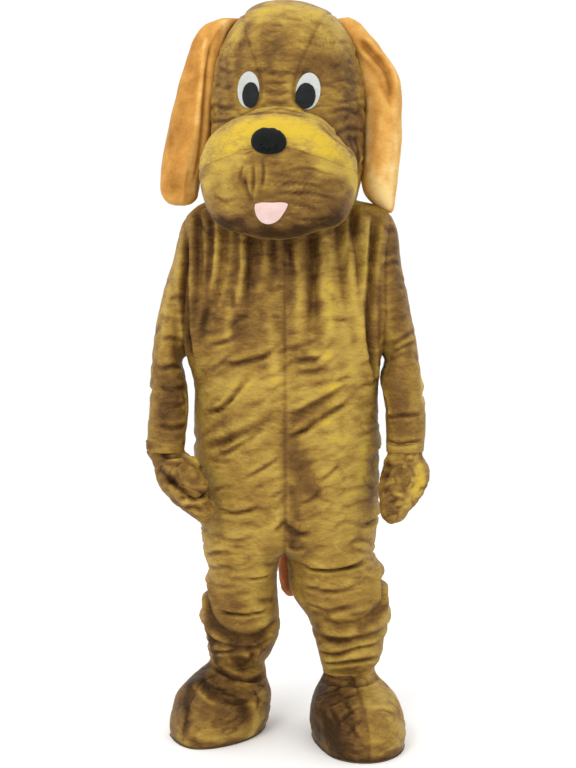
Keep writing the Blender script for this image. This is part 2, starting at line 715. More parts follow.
# %% Laps that run round a leg
LAPS = [
    # side, on the back, on the outer side, in front, depth, width
    ("left", ((-0.03, 0.325), (-0.10, 0.298), (-0.19, 0.325)),
     ((0.08, 0.335), (0.0, 0.348), (-0.06, 0.345)),
     ((207, 596), (211, 612), (222, 630), (242, 638), (262, 634), (276, 618)), 0.010, 0.013),
    ("left", ((-0.03, 0.250), (-0.12, 0.232), (-0.19, 0.245)),
     ((0.08, 0.250), (0.0, 0.262), (-0.06, 0.250)),
     ((207, 634), (221, 643), (243, 648), (262, 644), (272, 634)), 0.010, 0.009),
    ("right", ((0.03, 0.335), (0.12, 0.300), (0.22, 0.340)),
     ((0.08, 0.362), (0.0, 0.374), (-0.07, 0.364)),
     ((309, 610), (326, 622), (347, 625), (368, 616), (383, 602), (387, 591)), 0.011, 0.013),
    ("right", ((0.06, 0.255), (0.14, 0.238), (0.22, 0.258)),
     ((0.08, 0.262), (0.0, 0.274), (-0.07, 0.258)),
     ((314, 630), (322, 637), (345, 641), (366, 637), (384, 630)), 0.009, 0.009),
]
for side, behind, beside_leg, before, depth, width in LAPS:
    stretches = [lay(suit, behind, "back"), lay(suit, beside_leg, side), lay(suit, before)]
    path = join(*(stretches if side == "left" else stretches[::-1]))
    fold(suit, path, depth, width, above=0.8, below=0.5, hang=0.3 * depth, tone=0.6, ends=0.08)
print(len(LAPS), "laps round the legs")

# %% Legs, back and outer sides
LEG_BACKS = [
    # path, depth, width
    (((-0.20, 0.44), (-0.12, 0.425), (-0.03, 0.44)), 0.012, 0.008),
    (((-0.17, 0.385), (-0.12, 0.372), (-0.06, 0.378)), 0.006, 0.007),
    (((-0.18, 0.205), (-0.12, 0.192), (-0.05, 0.205)), 0.010, 0.007),
    (((0.24, 0.43), (0.16, 0.415), (0.03, 0.43)), 0.014, 0.008),
    (((0.20, 0.390), (0.14, 0.375), (0.08, 0.385)), 0.006, 0.007),
    (((0.24, 0.205), (0.16, 0.192), (0.09, 0.205)), 0.010, 0.007),
]
for path, depth, width in LEG_BACKS:
    fold(suit, lay(suit, path, "back"), depth, width, above=0.75, below=0.35, hang=0.6 * depth,
         tone=0.9, ends=0.2)
LEG_SIDES = [
    # side, path, depth, width
    ("left", ((-0.05, 0.415), (0.01, 0.425), (0.06, 0.418)), 0.004, 0.008),
    ("left", ((-0.05, 0.205), (0.0, 0.211), (0.06, 0.205)), 0.006, 0.006),
    ("left", ((-0.10, 0.50), (0.0, 0.515), (0.10, 0.50)), 0.010, 0.008),
    ("left", ((-0.10, 0.70), (-0.02, 0.725), (0.08, 0.70)), 0.004, 0.010),
    ("left", ((-0.10, 0.86), (0.0, 0.84), (0.10, 0.87)), 0.010, 0.009),
    ("right", ((-0.06, 0.435), (0.0, 0.442), (0.06, 0.430)), 0.004, 0.008),
    ("right", ((-0.06, 0.209), (0.0, 0.215), (0.06, 0.207)), 0.006, 0.006),
    ("right", ((-0.12, 0.52), (0.0, 0.54), (0.10, 0.52)), 0.012, 0.008),
    ("right", ((-0.10, 0.68), (-0.02, 0.70), (0.08, 0.72)), 0.010, 0.009),
    ("right", ((-0.10, 0.83), (0.0, 0.85), (0.10, 0.82)), 0.010, 0.009),
]
for side, path, depth, width in LEG_SIDES:
    fold(suit, lay(suit, path, side), depth, width, above=0.7, below=0.35, hang=0.5 * depth, tone=0.9)
print(len(LEG_BACKS), "folds behind the legs and", len(LEG_SIDES), "at their sides")

# %% Sleeves
SLEEVES = [
    # path, depth, width, hang
    (((151, 385), (165, 389), (184, 386)), 0.007, 0.006, 0.002),
    (((150, 402), (168, 406), (186, 400)), 0.006, 0.006, 0.002),
    (((156, 372), (170, 366), (188, 370)), 0.006, 0.006, 0.002),
    (((176, 392), (181, 404), (180, 418)), 0.008, 0.006, 0.002),
    (((160, 340), (172, 338), (184, 342)), 0.005, 0.006, 0.001),
    (((153, 425), (168, 428), (185, 424)), 0.007, 0.006, 0.002),
    (((168, 300), (178, 296), (184, 300)), 0.004, 0.006, 0.001),
    (((388, 345), (400, 340), (415, 330)), 0.005, 0.006, 0.001),
    (((394, 352), (406, 346), (418, 340)), 0.004, 0.005, 0.001),
    (((380, 418), (396, 416), (424, 413)), 0.007, 0.005, 0.003),
    (((385, 440), (400, 444), (424, 440)), 0.007, 0.006, 0.003),
    (((378, 232), (390, 236), (400, 230)), 0.006, 0.007, 0.002),
    (((378, 268), (392, 262), (404, 266)), 0.004, 0.006, 0.001),
    (((386, 390), (388, 405), (385, 425)), 0.006, 0.008, 0.001),
]
for path, depth, width, hang in SLEEVES:
    fold(suit, lay(suit, path), 0.55 * depth, width, above=0.6, below=0.3, hang=hang, tone=0.8)
print(len(SLEEVES), "folds on the sleeves, in front")

# %% Sleeves, back and outer sides
SLEEVE_RINGS = ((1.12, 0.005), (1.0, 0.006), (0.93, 0.008), (0.865, 0.006), (0.80, 0.007))
for turn, side in ((-1.0, "left"), (1.0, "right")):
    for height, depth in SLEEVE_RINGS:
        tilt = 0.012 * math.sin(40.0 * height + turn)
        path = ((turn * 0.35, height + tilt), (turn * 0.30, height - 0.01),
                (turn * 0.255, height + 0.012))
        fold(suit, lay(suit, path, "back"), 0.5 * depth, 0.008, hang=0.001, tone=0.8)
        path = ((-0.10, height + tilt), (-0.03, height - 0.008), (0.05, height + 0.01))
        fold(suit, lay(suit, path, side), 0.25 * depth, 0.008, hang=0.001, tone=0.7)
print(len(SLEEVE_RINGS), "folds round each sleeve")

# %% Broad strokes of the pile
STROKES = [
    # path, width, tone
    (((205, 228), (285, 240), (370, 226)), 0.034, -0.65),
    (((214, 256), (240, 268), (272, 262)), 0.055, -0.75),
    (((232, 318), (262, 314), (284, 304)), 0.030, -0.45),
    (((304, 256), (335, 262), (360, 256)), 0.045, -0.45),
    (((217, 240), (215, 270), (210, 304)), 0.010, 0.5),
    (((238, 240), (240, 275), (237, 300)), 0.010, 0.4),
    (((262, 240), (262, 285)), 0.008, 0.35),
    (((299, 245), (298, 280), (298, 312)), 0.008, 0.6),
    (((327, 240), (328, 280), (329, 330)), 0.012, 0.9),
    (((348, 250), (352, 290), (356, 330)), 0.012, 0.3),
    (((190, 240), (190, 300), (192, 350)), 0.016, -0.5),
    (((373, 240), (370, 300), (372, 370)), 0.016, -0.5),
    (((212, 322), (245, 334), (276, 322)), 0.032, -0.4),
    (((225, 361), (250, 357), (276, 350)), 0.012, -0.4),
    (((215, 388), (240, 382), (270, 388)), 0.045, 0.45),
    (((215, 475), (250, 470), (275, 478)), 0.040, 0.35),
    (((215, 540), (245, 545), (270, 530)), 0.045, 0.35),
    (((289, 340), (304, 356), (330, 371)), 0.026, -0.55),
    (((344, 306), (352, 332), (354, 366)), 0.030, 0.45),
    (((296, 398), (325, 386), (352, 374)), 0.018, 0.5),
    (((292, 440), (300, 470), (312, 492)), 0.034, -0.85),
    (((335, 440), (350, 470), (352, 510)), 0.045, 0.35),
    (((292, 524), (302, 540), (306, 550)), 0.024, -0.8),
    (((392, 235), (398, 300), (402, 360), (402, 430)), 0.034, -0.65),
    (((410, 285), (419, 340), (423, 400)), 0.010, 0.8),
    (((382, 340), (385, 380), (386, 430)), 0.010, 0.3),
    (((168, 290), (160, 345), (156, 400)), 0.014, 0.45),
    (((180, 290), (176, 345), (172, 400)), 0.035, -0.45),
    (((178, 385), (170, 405), (176, 430)), 0.030, -0.65),
    (((228, 620), (240, 640), (240, 664)), 0.050, -0.70),
    (((209, 590), (210, 640)), 0.018, -0.7),
    (((272, 600), (272, 630)), 0.016, -0.3),
    (((258, 650), (272, 648)), 0.014, -0.8),
    (((236, 640), (246, 668)), 0.022, -0.5),
    (((345, 560), (350, 600), (345, 640)), 0.050, -0.20),
    (((387, 604), (376, 618), (360, 628)), 0.009, -0.8),
    (((332, 620), (348, 623), (363, 619)), 0.010, 0.7),
    (((326, 601), (350, 606), (380, 600)), 0.009, -0.5),
    (((334, 615), (352, 618), (370, 610)), 0.008, 0.5),
    (((345, 639), (358, 640)), 0.012, 0.4),
    (((318, 626), (330, 634), (345, 638)), 0.010, -0.7),
    (((210, 608), (215, 624), (228, 636), (246, 641), (262, 635)), 0.014, -1.0),
    (((228, 650), (236, 660), (242, 668)), 0.014, -0.6),
    (((310, 440), (335, 430), (362, 420)), 0.060, 0.35),
    (((330, 640), (350, 668)), 0.030, -0.3),
    (((384, 560), (388, 600)), 0.012, -0.6),
    (((222, 228), (222, 252), (220, 276)), 0.012, 1.1),
    (((246, 236), (245, 262)), 0.010, 0.8),
    (((268, 238), (268, 276)), 0.010, 0.8),
    (((306, 236), (340, 244), (370, 256)), 0.035, 0.35),
    (((377, 286), (378, 310), (377, 338)), 0.012, -0.8),
    (((232, 300), (240, 325), (236, 350)), 0.018, -0.35),
    (((205, 374), (240, 372), (264, 368)), 0.014, -0.45),
    (((312, 350), (340, 354), (362, 360)), 0.018, 0.4),
    (((396, 338), (402, 352), (404, 368)), 0.018, 0.4),
    (((298, 324), (300, 342)), 0.010, 0.4),
    (((322, 485), (328, 510), (334, 545)), 0.024, 0.3),
    (((252, 462), (268, 468)), 0.018, -0.35),
    (((222, 441), (245, 439), (266, 436)), 0.018, 0.3),
    (((258, 555), (262, 580)), 0.016, 0.4),
    (((308, 563), (335, 567), (362, 563)), 0.010, -0.4),
    (((211, 566), (214, 600)), 0.014, -0.3),
    (((313, 234), (313, 270)), 0.016, 0.55),
    (((342, 244), (342, 270)), 0.010, 0.5),
    (((366, 226), (367, 260), (365, 296)), 0.014, 1.0),
    (((207, 274), (208, 300), (202, 335)), 0.012, -1.0),
    (((257, 256), (257, 276)), 0.009, -0.6),
    (((295, 272), (295, 298)), 0.009, -0.6),
    (((232, 310), (229, 334)), 0.009, 0.4),
    (((230, 298), (258, 300)), 0.014, -0.7),
    (((228, 312), (227, 336)), 0.012, 0.6),
    (((268, 314), (273, 345), (275, 376)), 0.014, 0.65),
    (((318, 300), (318, 345)), 0.012, -0.6),
    (((353, 318), (354, 342)), 0.010, -0.6),
    (((325, 356), (332, 370), (334, 384)), 0.022, 0.65),
    (((178, 240), (172, 290), (164, 345)), 0.026, 0.4),
    (((160, 368), (158, 398), (160, 426)), 0.022, -0.9),
    (((388, 300), (390, 330), (392, 365)), 0.016, 0.45),
    (((295, 421), (309, 414), (323, 405)), 0.012, -0.8),
    (((341, 416), (341, 434)), 0.012, -0.5),
    (((364, 444), (363, 474)), 0.016, 0.7),
    (((325, 470), (340, 500), (346, 530)), 0.030, 0.35),
    (((293, 496), (296, 514)), 0.012, -0.7),
    (((290, 528), (294, 548)), 0.012, -1.0),
    (((232, 572), (236, 605)), 0.030, -0.3),
    (((222, 627), (238, 630), (252, 628)), 0.012, -0.5),
    (((211, 638), (213, 652), (216, 664)), 0.013, -1.5),
    (((186, 280), (184, 310), (178, 345)), 0.012, 0.8),
    (((226, 642), (230, 660)), 0.014, 0.5),
    (((324, 578), (346, 580)), 0.014, 0.5),
]
for path, width, tone in STROKES:
    stroke(suit, lay(suit, path), width, tone)
print(len(STROKES), "strokes")

# %% Small folds all over the suit
SMALL_FOLDS = [
    # side, how many, from corner, to corner, slope, length, depth, width, seed, tone
    ("seen", 70, (206, 330), (372, 530), 20.0, 30.0, 0.0030, 0.0055, 101, 0.4),
    ("seen", 26, (204, 238), (368, 330), 6.0, 18.0, 0.0016, 0.0050, 102, 0.5),
    ("seen", 16, (208, 240), (364, 300), 88.0, 40.0, 0.0030, 0.0060, 103, 0.5),
    ("seen", 20, (214, 530), (270, 670), -4.0, 26.0, 0.0022, 0.0055, 104, 0.4),
    ("seen", 24, (314, 545), (378, 676), 6.0, 30.0, 0.0022, 0.0055, 105, 0.4),
    ("seen", 14, (160, 300), (186, 440), 4.0, 20.0, 0.0014, 0.0055, 106, 0.4),
    ("seen", 16, (378, 250), (420, 445), 8.0, 24.0, 0.0018, 0.0055, 107, 0.4),
    ("back", 60, (-0.21, 0.55), (0.22, 1.10), -12.0, 0.075, 0.0030, 0.0060, 108, 0.4),
    ("back", 20, (-0.20, 0.17), (-0.02, 0.55), 4.0, 0.065, 0.0035, 0.0055, 109, 0.4),
    ("back", 20, (0.04, 0.17), (0.25, 0.55), -4.0, 0.065, 0.0035, 0.0055, 110, 0.4),
    ("left", 18, (-0.11, 0.48), (0.12, 1.15), 5.0, 0.060, 0.0018, 0.0055, 111, 0.4),
    ("left", 8, (-0.08, 0.18), (0.08, 0.48), 5.0, 0.060, 0.0016, 0.0055, 112, 0.4),
    ("right", 18, (-0.11, 0.48), (0.12, 1.15), 5.0, 0.060, 0.0018, 0.0055, 111, 0.4),
    ("right", 8, (-0.08, 0.18), (0.08, 0.48), 5.0, 0.060, 0.0016, 0.0055, 112, 0.4),
]
for side, *row in SMALL_FOLDS:
    scatter(suit, side, *row)
print(sum(row[1] for row in SMALL_FOLDS), "small folds")

# %% Crumples of the whole suit, then cut it into its pieces
sink_seams(suit, 0.0035, 0.0045, tone=0.35)
crumple(suit, 0.0050, (0.11, 0.11, 0.075), 1, tone=0.25, where=1.0 - 0.7 * arms)
crumple(suit, 0.0014, (0.045, 0.045, 0.020), 2, tone=0.25)
crease(suit, 0.0030, (0.12, 0.12, 0.045), 3, tone=0.4, where=1.0 - 0.5 * arms)
set_folds(suit)
suit_surface = surface(suit.thing)
suit_pieces = cut_apart(suit.thing, SUIT, {"sleeve_left": -0.05})
print("suit cut into", sorted(suit_pieces))

# %% [markdown]
# ## The head
# The head is a light shell covered with the same plush. A gusset runs over the crown between the two
# sides, and the muzzle has an upper piece, brushed forward so that it shines gold, and a long piece
# for the cheeks and chin. The shell holds the cloth out, so it only wrinkles a little where it is glued.
#
# At the tip of the muzzle the seam between its two pieces is wider than elsewhere. So the head is
# welded over twice the distance, and the small gap that is left behind the nose is closed. The neck
# stays open, since the wearer's head goes in there: its rim has more sides than a closed gap may have.

# %% Skin of the head
HEAD = ["head_crown", "head_side_left", "head_side_right", "muzzle_upper", "muzzle_lower"]
NOSE_GAP = 16                         # most sides of a gap that is closed: the neck's rim has 24

head = Cloth(smooth_skin("head", HEAD, weld=2 * WELD, hole=NOSE_GAP))

# %% Wrinkles of the head
WRINKLES = [
    # path, depth, width
    (((244, 72), (262, 70), (280, 74), (300, 70)), 0.0030, 0.005),
    (((258, 81), (278, 83), (294, 79)), 0.0025, 0.004),
    (((262, 91), (276, 93), (293, 91)), 0.0030, 0.004),
    (((262, 101), (278, 103), (294, 100)), 0.0025, 0.004),
    (((216, 66), (228, 72), (238, 68)), 0.0025, 0.005),
    (((216, 84), (226, 88), (236, 84)), 0.0025, 0.005),
    (((214, 104), (226, 109), (236, 108)), 0.0030, 0.005),
    (((214, 122), (226, 121), (238, 116)), 0.0025, 0.005),
    (((318, 62), (335, 66), (354, 60)), 0.0025, 0.005),
    (((324, 84), (340, 80), (360, 85)), 0.0030, 0.005),
    (((323, 98), (340, 102), (362, 97)), 0.0030, 0.004),
    (((326, 114), (344, 109), (362, 116)), 0.0030, 0.005),
    (((336, 128), (350, 126), (362, 132)), 0.0025, 0.005),
    (((248, 32), (268, 24), (290, 28)), 0.0025, 0.005),
    (((280, 16), (298, 20), (318, 14)), 0.0025, 0.005),
    (((262, 46), (280, 40), (300, 44)), 0.0020, 0.005),
    (((318, 34), (332, 42), (348, 40)), 0.0025, 0.005),
    (((222, 50), (232, 44), (240, 34)), 0.0025, 0.005),
    (((243, 164), (241, 174), (240, 184)), 0.0035, 0.004),
    (((243, 172), (247, 188), (254, 204)), 0.0060, 0.005),
    (((253, 162), (254, 182), (253, 200)), 0.0050, 0.004),
    (((262, 158), (264, 172), (262, 190)), 0.0025, 0.004),
    (((288, 202), (305, 204), (324, 207)), 0.0035, 0.004),
    (((274, 184), (300, 183), (328, 187)), 0.0030, 0.004),
    (((272, 193), (305, 192), (341, 195)), 0.0030, 0.004),
    (((282, 172), (306, 168), (330, 174)), 0.0020, 0.004),
    (((214, 190), (226, 196), (240, 194)), 0.0030, 0.005),
    (((212, 206), (228, 214), (246, 214)), 0.0030, 0.005),
    (((296, 216), (316, 214), (334, 206)), 0.0030, 0.005),
    (((240, 228), (268, 232), (300, 228)), 0.0030, 0.005),
]
for path, depth, width in WRINKLES:
    fold(head, lay(head, path), depth, width, above=0.5, below=0.3, hang=0.001, tone=0.6)
print(len(WRINKLES), "wrinkles in front")

# %% Wrinkles at the back and the sides of the head
BACK_WRINKLES = [
    # x, height, rise of its right end
    (-0.10, 1.68, 0.02), (0.06, 1.70, -0.02), (-0.02, 1.60, 0.02), (0.10, 1.56, 0.02),
    (-0.09, 1.50, -0.02), (0.03, 1.46, 0.01), (-0.05, 1.39, 0.01), (0.09, 1.38, -0.01),
]
SIDE_WRINKLES = [
    # y, height
    (-0.02, 1.66), (0.07, 1.60), (-0.06, 1.53), (0.05, 1.47), (-0.03, 1.40), (0.08, 1.37),
]
for x, height, rise in BACK_WRINKLES:
    path = ((x - 0.055, height - rise), (x, height + 0.006), (x + 0.055, height + rise))
    fold(head, lay(head, path, "back"), 0.003, 0.006, tone=0.6)
for side in SIDES:
    for y, height in SIDE_WRINKLES:
        path = ((y - 0.05, height - 0.008), (y, height + 0.006), (y + 0.05, height - 0.004))
        fold(head, lay(head, path, side), 0.003, 0.006, tone=0.6)
print(len(BACK_WRINKLES), "wrinkles behind and", len(SIDE_WRINKLES), "on each side")

# %% Neck rim, which rests on the shoulders
RIM_TOP = 0.13                        # below this height the head widens towards its rim
RIM_DROP = np.array((0.0, 0.0, 0.040))
RIM_FLARE = 0.007

low_down = np.clip((RIM_TOP - head.rest[:, 2]) / 0.09, 0.0, 1.0) ** 1.5
low_down *= np.clip((head.rest[:, 1] + 0.12) / 0.07, 0.0, 1.0)
outward = head.rest * (1.0, 1.0, 0.0)
outward /= np.linalg.norm(outward, axis=1)[:, None] + 1e-9
head.move += low_down[:, None] * (RIM_FLARE * outward - RIM_DROP)
print("neck rim:", int((low_down > 0.0).sum()), "points lowered")

# %% Fullness of crown, chin, jowls and sides
HEAD_SET = [
    # centre, reach along x, y and z, move
    ((0.085, 0.0, 0.53), (0.05, 0.3, 0.04), (0.0, 0.0, -0.007)),
    ((-0.015, -0.22, -0.03), (0.11, 0.12, 0.06), (0.0, 0.0, -0.017)),
    ((-0.145, -0.20, 0.02), (0.055, 0.12, 0.06), (-0.003, 0.0, -0.026)),
    ((0.125, -0.20, 0.02), (0.055, 0.12, 0.06), (0.006, 0.0, -0.026)),
    ((0.125, -0.20, 0.195), (0.050, 0.10, 0.035), (-0.008, 0.004, -0.020)),
]
for centre, reach, move in HEAD_SET:
    push(head, centre, reach, move)
for side in SIDES:
    stroke(head, lay(head, ((0.02, 1.72), (0.02, 1.58), (0.02, 1.44)), side), 0.13, 0.0, 0.009)
print("set of the head:", len(HEAD_SET), "pushes")

# %% Strokes of the head's pile
HEAD_STROKES = [
    # path, width, tone
    (((240, 36), (262, 14), (300, 8), (334, 24)), 0.042, 1.0),
    (((326, 36), (340, 50)), 0.020, 0.4),
    (((258, 60), (280, 66), (300, 62)), 0.030, -0.25),
    (((272, 84), (277, 104)), 0.026, -0.3),
    (((242, 44), (250, 24)), 0.018, -1.3),
    (((262, 26), (282, 44), (266, 54)), 0.024, -0.45),
    (((238, 54), (238, 72)), 0.012, -0.5),
    (((288, 88), (291, 106)), 0.014, 0.5),
    (((350, 134), (354, 152)), 0.008, -0.7),
    (((359, 160), (361, 178)), 0.010, 0.9),
    (((231, 44), (228, 72), (231, 100)), 0.012, -0.4),
    (((304, 74), (314, 80)), 0.014, -0.8),
    (((322, 124), (340, 136), (356, 154)), 0.012, -1.0),
    (((252, 131), (270, 122), (288, 131)), 0.012, 1.2),
    (((258, 113), (280, 109), (302, 113)), 0.008, -1.0),
    (((250, 114), (275, 113), (302, 116)), 0.010, -1.1),
    (((210, 112), (208, 126), (206, 140)), 0.010, 0.8),
    (((355, 138), (357, 160)), 0.009, -1.1),
    (((322, 164), (346, 171), (358, 182)), 0.018, 0.9),
    (((226, 176), (227, 194)), 0.022, 0.7),
    (((224, 211), (240, 215)), 0.014, -1.5),
    (((262, 188), (292, 196), (310, 212)), 0.040, -0.3),
    (((320, 66), (345, 76), (350, 130)), 0.040, -0.6),
    (((222, 60), (220, 90), (226, 128)), 0.024, -0.45),
    (((238, 128), (250, 118)), 0.012, 0.4),
    (((232, 140), (262, 122), (300, 128), (336, 152)), 0.030, 0.6),
    (((206, 182), (216, 168), (240, 154)), 0.022, 0.9),
    (((350, 168), (357, 186), (357, 206)), 0.016, 1.2),
    (((206, 196), (216, 206)), 0.020, 0.7),
    (((240, 164), (252, 172), (254, 190)), 0.014, 0.4),
    (((312, 184), (332, 194), (338, 206)), 0.026, -0.3),
    (((214, 206), (236, 221), (266, 227), (300, 226), (332, 211)), 0.028, -1.3),
    (((358, 112), (362, 134), (361, 152)), 0.018, -0.9),
]
for path, width, tone in HEAD_STROKES:
    stroke(head, lay(head, path), width, tone)
print(len(HEAD_STROKES), "strokes")

# %% Shape the head and cut it apart
sink_seams(head, 0.003, 0.0045, tone=0.3)
crumple(head, 0.0022, (0.09, 0.09, 0.06), 11, tone=0.15)
crumple(head, 0.0010, (0.040, 0.040, 0.014), 12, tone=0.40)
crease(head, 0.0014, (0.07, 0.07, 0.024), 13, sharp=0.13, tone=0.40)
set_folds(head)
head_surface = surface(head.thing)
HEAD_TONES = {"head_side_left": -0.05, "head_side_right": -0.15, "head_crown": -0.05,
              "muzzle_upper": 0.60, "muzzle_lower": -0.25}
head_pieces = cut_apart(head.thing, HEAD, HEAD_TONES)
print("head cut into", sorted(head_pieces))

# %% [markdown]
# ## Eyes, nose and tongue
# The eyes and the tongue are felt shapes glued on the plush, so each is a thin patch that follows
# the head under it and rises a little at its edge. The nose is a small pad of black plush.

# %% A patch laid on the head
PATCH_RINGS = 10
SUNK = 0.0012                         # a patch's back lies this far inside the plush


def patch(name, outline, rise, crown):
    """A closed patch on the head. The outline is in columns and rows of the camera's frame. The
    patch stands rise above the plush at its rim and rise + crown in its middle."""
    loop = [Vector(point) for point in outline]
    middle = sum(loop, Vector((0.0, 0.0))) / len(loop)
    front, back = [], []
    for ring in range(PATCH_RINGS + 1):
        share = ring / PATCH_RINGS
        for point in loop if ring else [middle]:
            spot = middle.lerp(point, share)
            place, normal = head_surface.ray_cast(CAMERA_PLACE, sight(*spot))[:2]
            height = rise + crown * math.sqrt(max(0.0, 1.0 - share**2))
            front.append(place + normal * height)
            back.append(place - normal * SUNK)
    count = len(loop)
    points = front + back
    faces = []
    for start, turned in ((0, False), (len(front), True)):
        def ring_point(ring, step, start=start):
            return start + (0 if ring == 0 else 1 + (ring - 1) * count + step % count)
        for ring in range(PATCH_RINGS):
            for step in range(count):
                if ring == 0:
                    face = [ring_point(0, 0), ring_point(1, step), ring_point(1, step + 1)]
                else:
                    face = [ring_point(ring, step), ring_point(ring + 1, step),
                            ring_point(ring + 1, step + 1), ring_point(ring, step + 1)]
                faces.append(face[::-1] if turned else face)
    rim = 1 + (PATCH_RINGS - 1) * count
    for step in range(count):
        a, b = rim + step, rim + (step + 1) % count
        faces.append([a, a + len(front), b + len(front), b])
    mesh = bpy.data.meshes.new(name)
    mesh.from_pydata(points, [], faces)
    face_outward(mesh)
    mesh.shade_smooth()
    mesh.set_sharp_from_angle(angle=math.radians(50.0))
    return link(name, mesh)


# %% Outlines, and the pieces of the face
OVAL_STEPS = 48


def oval(column, row, half_width, half_height, lean, fullness=2.0):
    """An oval outline about a point of the camera's frame, leaning clockwise by lean degrees."""
    lean = math.radians(lean)
    loop = []
    for step in range(OVAL_STEPS):
        angle = math.tau * step / OVAL_STEPS
        x, y = math.cos(angle), math.sin(angle)
        x = half_width * math.copysign(abs(x) ** (2.0 / fullness), x)
        y = half_height * math.copysign(abs(y) ** (2.0 / fullness), y)
        loop.append((column + x * math.cos(lean) - y * math.sin(lean),
                     row + x * math.sin(lean) + y * math.cos(lean)))
    return loop


FELT = 0.0018                         # thickness of the felt
face_pieces = {
    "eye_white_left": patch("eye_white_left_felt", oval(248.6, 89.8, 10.6, 18.2, 3.0), FELT, 0.0),
    "eye_white_right": patch("eye_white_right_felt", oval(308.2, 91.2, 12.0, 18.4, 6.0), FELT, 0.0),
    "pupil_left": patch("pupil_left_mesh", oval(250.9, 95.2, 8.0, 12.7, 4.0), 2 * FELT, 0.0006),
    "pupil_right": patch("pupil_right_mesh", oval(305.6, 96.0, 9.6, 12.9, 4.0), 2 * FELT, 0.0006),
    "nose": patch("nose_pad", oval(269.0, 142.2, 17.6, 12.0, 1.0, fullness=2.2), 0.004, 0.022),
}
TONGUE = (
    (255.2, 204.0), (262.0, 202.4), (272.0, 202.6), (281.0, 202.2), (287.4, 203.6), (286.4, 208.0),
    (283.0, 213.6), (279.0, 219.0), (273.0, 222.8), (266.5, 223.4), (260.4, 220.6), (256.4, 214.8),
    (254.8, 208.6), (255.2, 204.0),
)
face_pieces["tongue"] = patch("tongue_felt", bend(TONGUE, 52)[:-1], 0.0022, 0.0012)
print("face", {name: len(piece.data.polygons) for name, piece in face_pieces.items()})

# %% [markdown]
# ## Ears
# An ear is two long leaves of short plush sewn edge to edge, lightly stuffed at the root, and it hangs
# turned: the seam along its front edge shows as a thin bright line. Each one is built of rings across
# its length, whose section is drawn once, and its folds are laid in afterwards.

# %% Build an ear
EAR_COLUMNS = 48
EAR_STEPS = 70
EAR_HALF_DEPTH = 0.068
EAR_MIDDLE = (0.0, -0.018)            # y of its middle, at the root and at the tip
ROOT_ROUND, TIP_ROUND = 0.07, 0.24    # shares of its length over which its ends round off


def ear(name, rows, section):
    """Rows are the ear's height, left edge and right edge in the camera's frame. The section's
    points go round it, from -1 to 1 across and from -1 in front to 1 behind."""
    ring = bend(tuple(section) + section[:1], EAR_COLUMNS)[:-1]
    points = []
    top, bottom = rows[0][0], rows[-1][0]
    for row, left, right in bend(rows, EAR_STEPS):
        share = min(max((row - top) / (bottom - top), 0.0), 1.0)
        end = min(share / ROOT_ROUND, (1.0 - share) / TIP_ROUND, 1.0)
        deep = EAR_HALF_DEPTH * (0.45 + 0.55 * math.sin(min(share / 0.7, 1.0) * math.pi / 2) ** 2)
        deep *= math.sqrt(max(0.01, 1.0 - (1.0 - end) ** 2))
        y = EAR_MIDDLE[0] + (EAR_MIDDLE[1] - EAR_MIDDLE[0]) * share
        spots = []
        for column in (left, right):
            way = sight(column, row)
            spots.append(CAMERA_PLACE + way * ((y - CAMERA_PLACE.y) / way.y))
        centre, half = (spots[0] + spots[1]) / 2, (spots[1] - spots[0]) / 2
        points.extend(centre + half * x + Vector((0.0, deep * d, 0.0)) for x, d in ring)
    faces = []
    for step in range(EAR_STEPS):
        for j in range(EAR_COLUMNS):
            a, b = step * EAR_COLUMNS + j, step * EAR_COLUMNS + (j + 1) % EAR_COLUMNS
            faces.append((a, b, b + EAR_COLUMNS, a + EAR_COLUMNS))
    faces.append(tuple(range(EAR_COLUMNS)))
    faces.append(tuple(EAR_STEPS * EAR_COLUMNS + j for j in range(EAR_COLUMNS)))
    mesh = bpy.data.meshes.new(name)
    mesh.from_pydata(points, [], faces)
    face_outward(mesh)
    mesh.shade_smooth()
    return link(name, mesh)


# %% Outlines and sections of the ears
EAR_ROWS = {
    # row, left edge, right edge
    "left": (
        (19, 223, 239), (23, 210, 236), (28, 202, 232), (38, 194, 226), (53, 187.5, 221),
        (73, 181, 218), (97, 175, 216), (120, 169.7, 214), (143, 165.0, 210), (163, 162, 206),
        (180, 160.8, 201), (191, 161, 199), (198, 164, 197), (203, 169, 191), (205, 175, 184)),
    "right": (
        (18, 338, 349), (23, 334, 358), (32, 336, 367), (42, 344, 377), (53, 350, 384),
        (62, 352, 391), (74, 356, 398), (87, 359, 401), (103, 362, 402.5), (123, 361, 402),
        (143, 361, 401), (167, 361.5, 398.5), (185, 362.5, 396.5), (196, 367, 395.5),
        (204, 374, 395), (210, 382, 394), (213.5, 387, 392)),
}
EAR_SECTIONS = {
    # share across, share back
    "left": (
        (-1.0, 0.15), (-0.85, -0.42), (-0.40, -0.80), (0.10, -0.95), (0.28, -0.98), (0.42, -0.90),
        (0.66, -0.74), (0.90, -0.50), (1.0, 0.05), (0.75, 0.65), (0.1, 0.95), (-0.6, 0.8)),
    "right": (
        (-1.0, 0.1), (-0.80, -0.45), (-0.40, -0.80), (0.0, -0.92), (0.45, -0.85), (0.85, -0.45),
        (1.0, 0.1), (0.7, 0.7), (0.0, 0.98), (-0.7, 0.75)),
}
ears = {side: Cloth(ear(f"ear_{side}_plush", EAR_ROWS[side], EAR_SECTIONS[side]))
        for side in SIDES}
print("ears", {side: len(cloth.rest) for side, cloth in ears.items()}, "points")

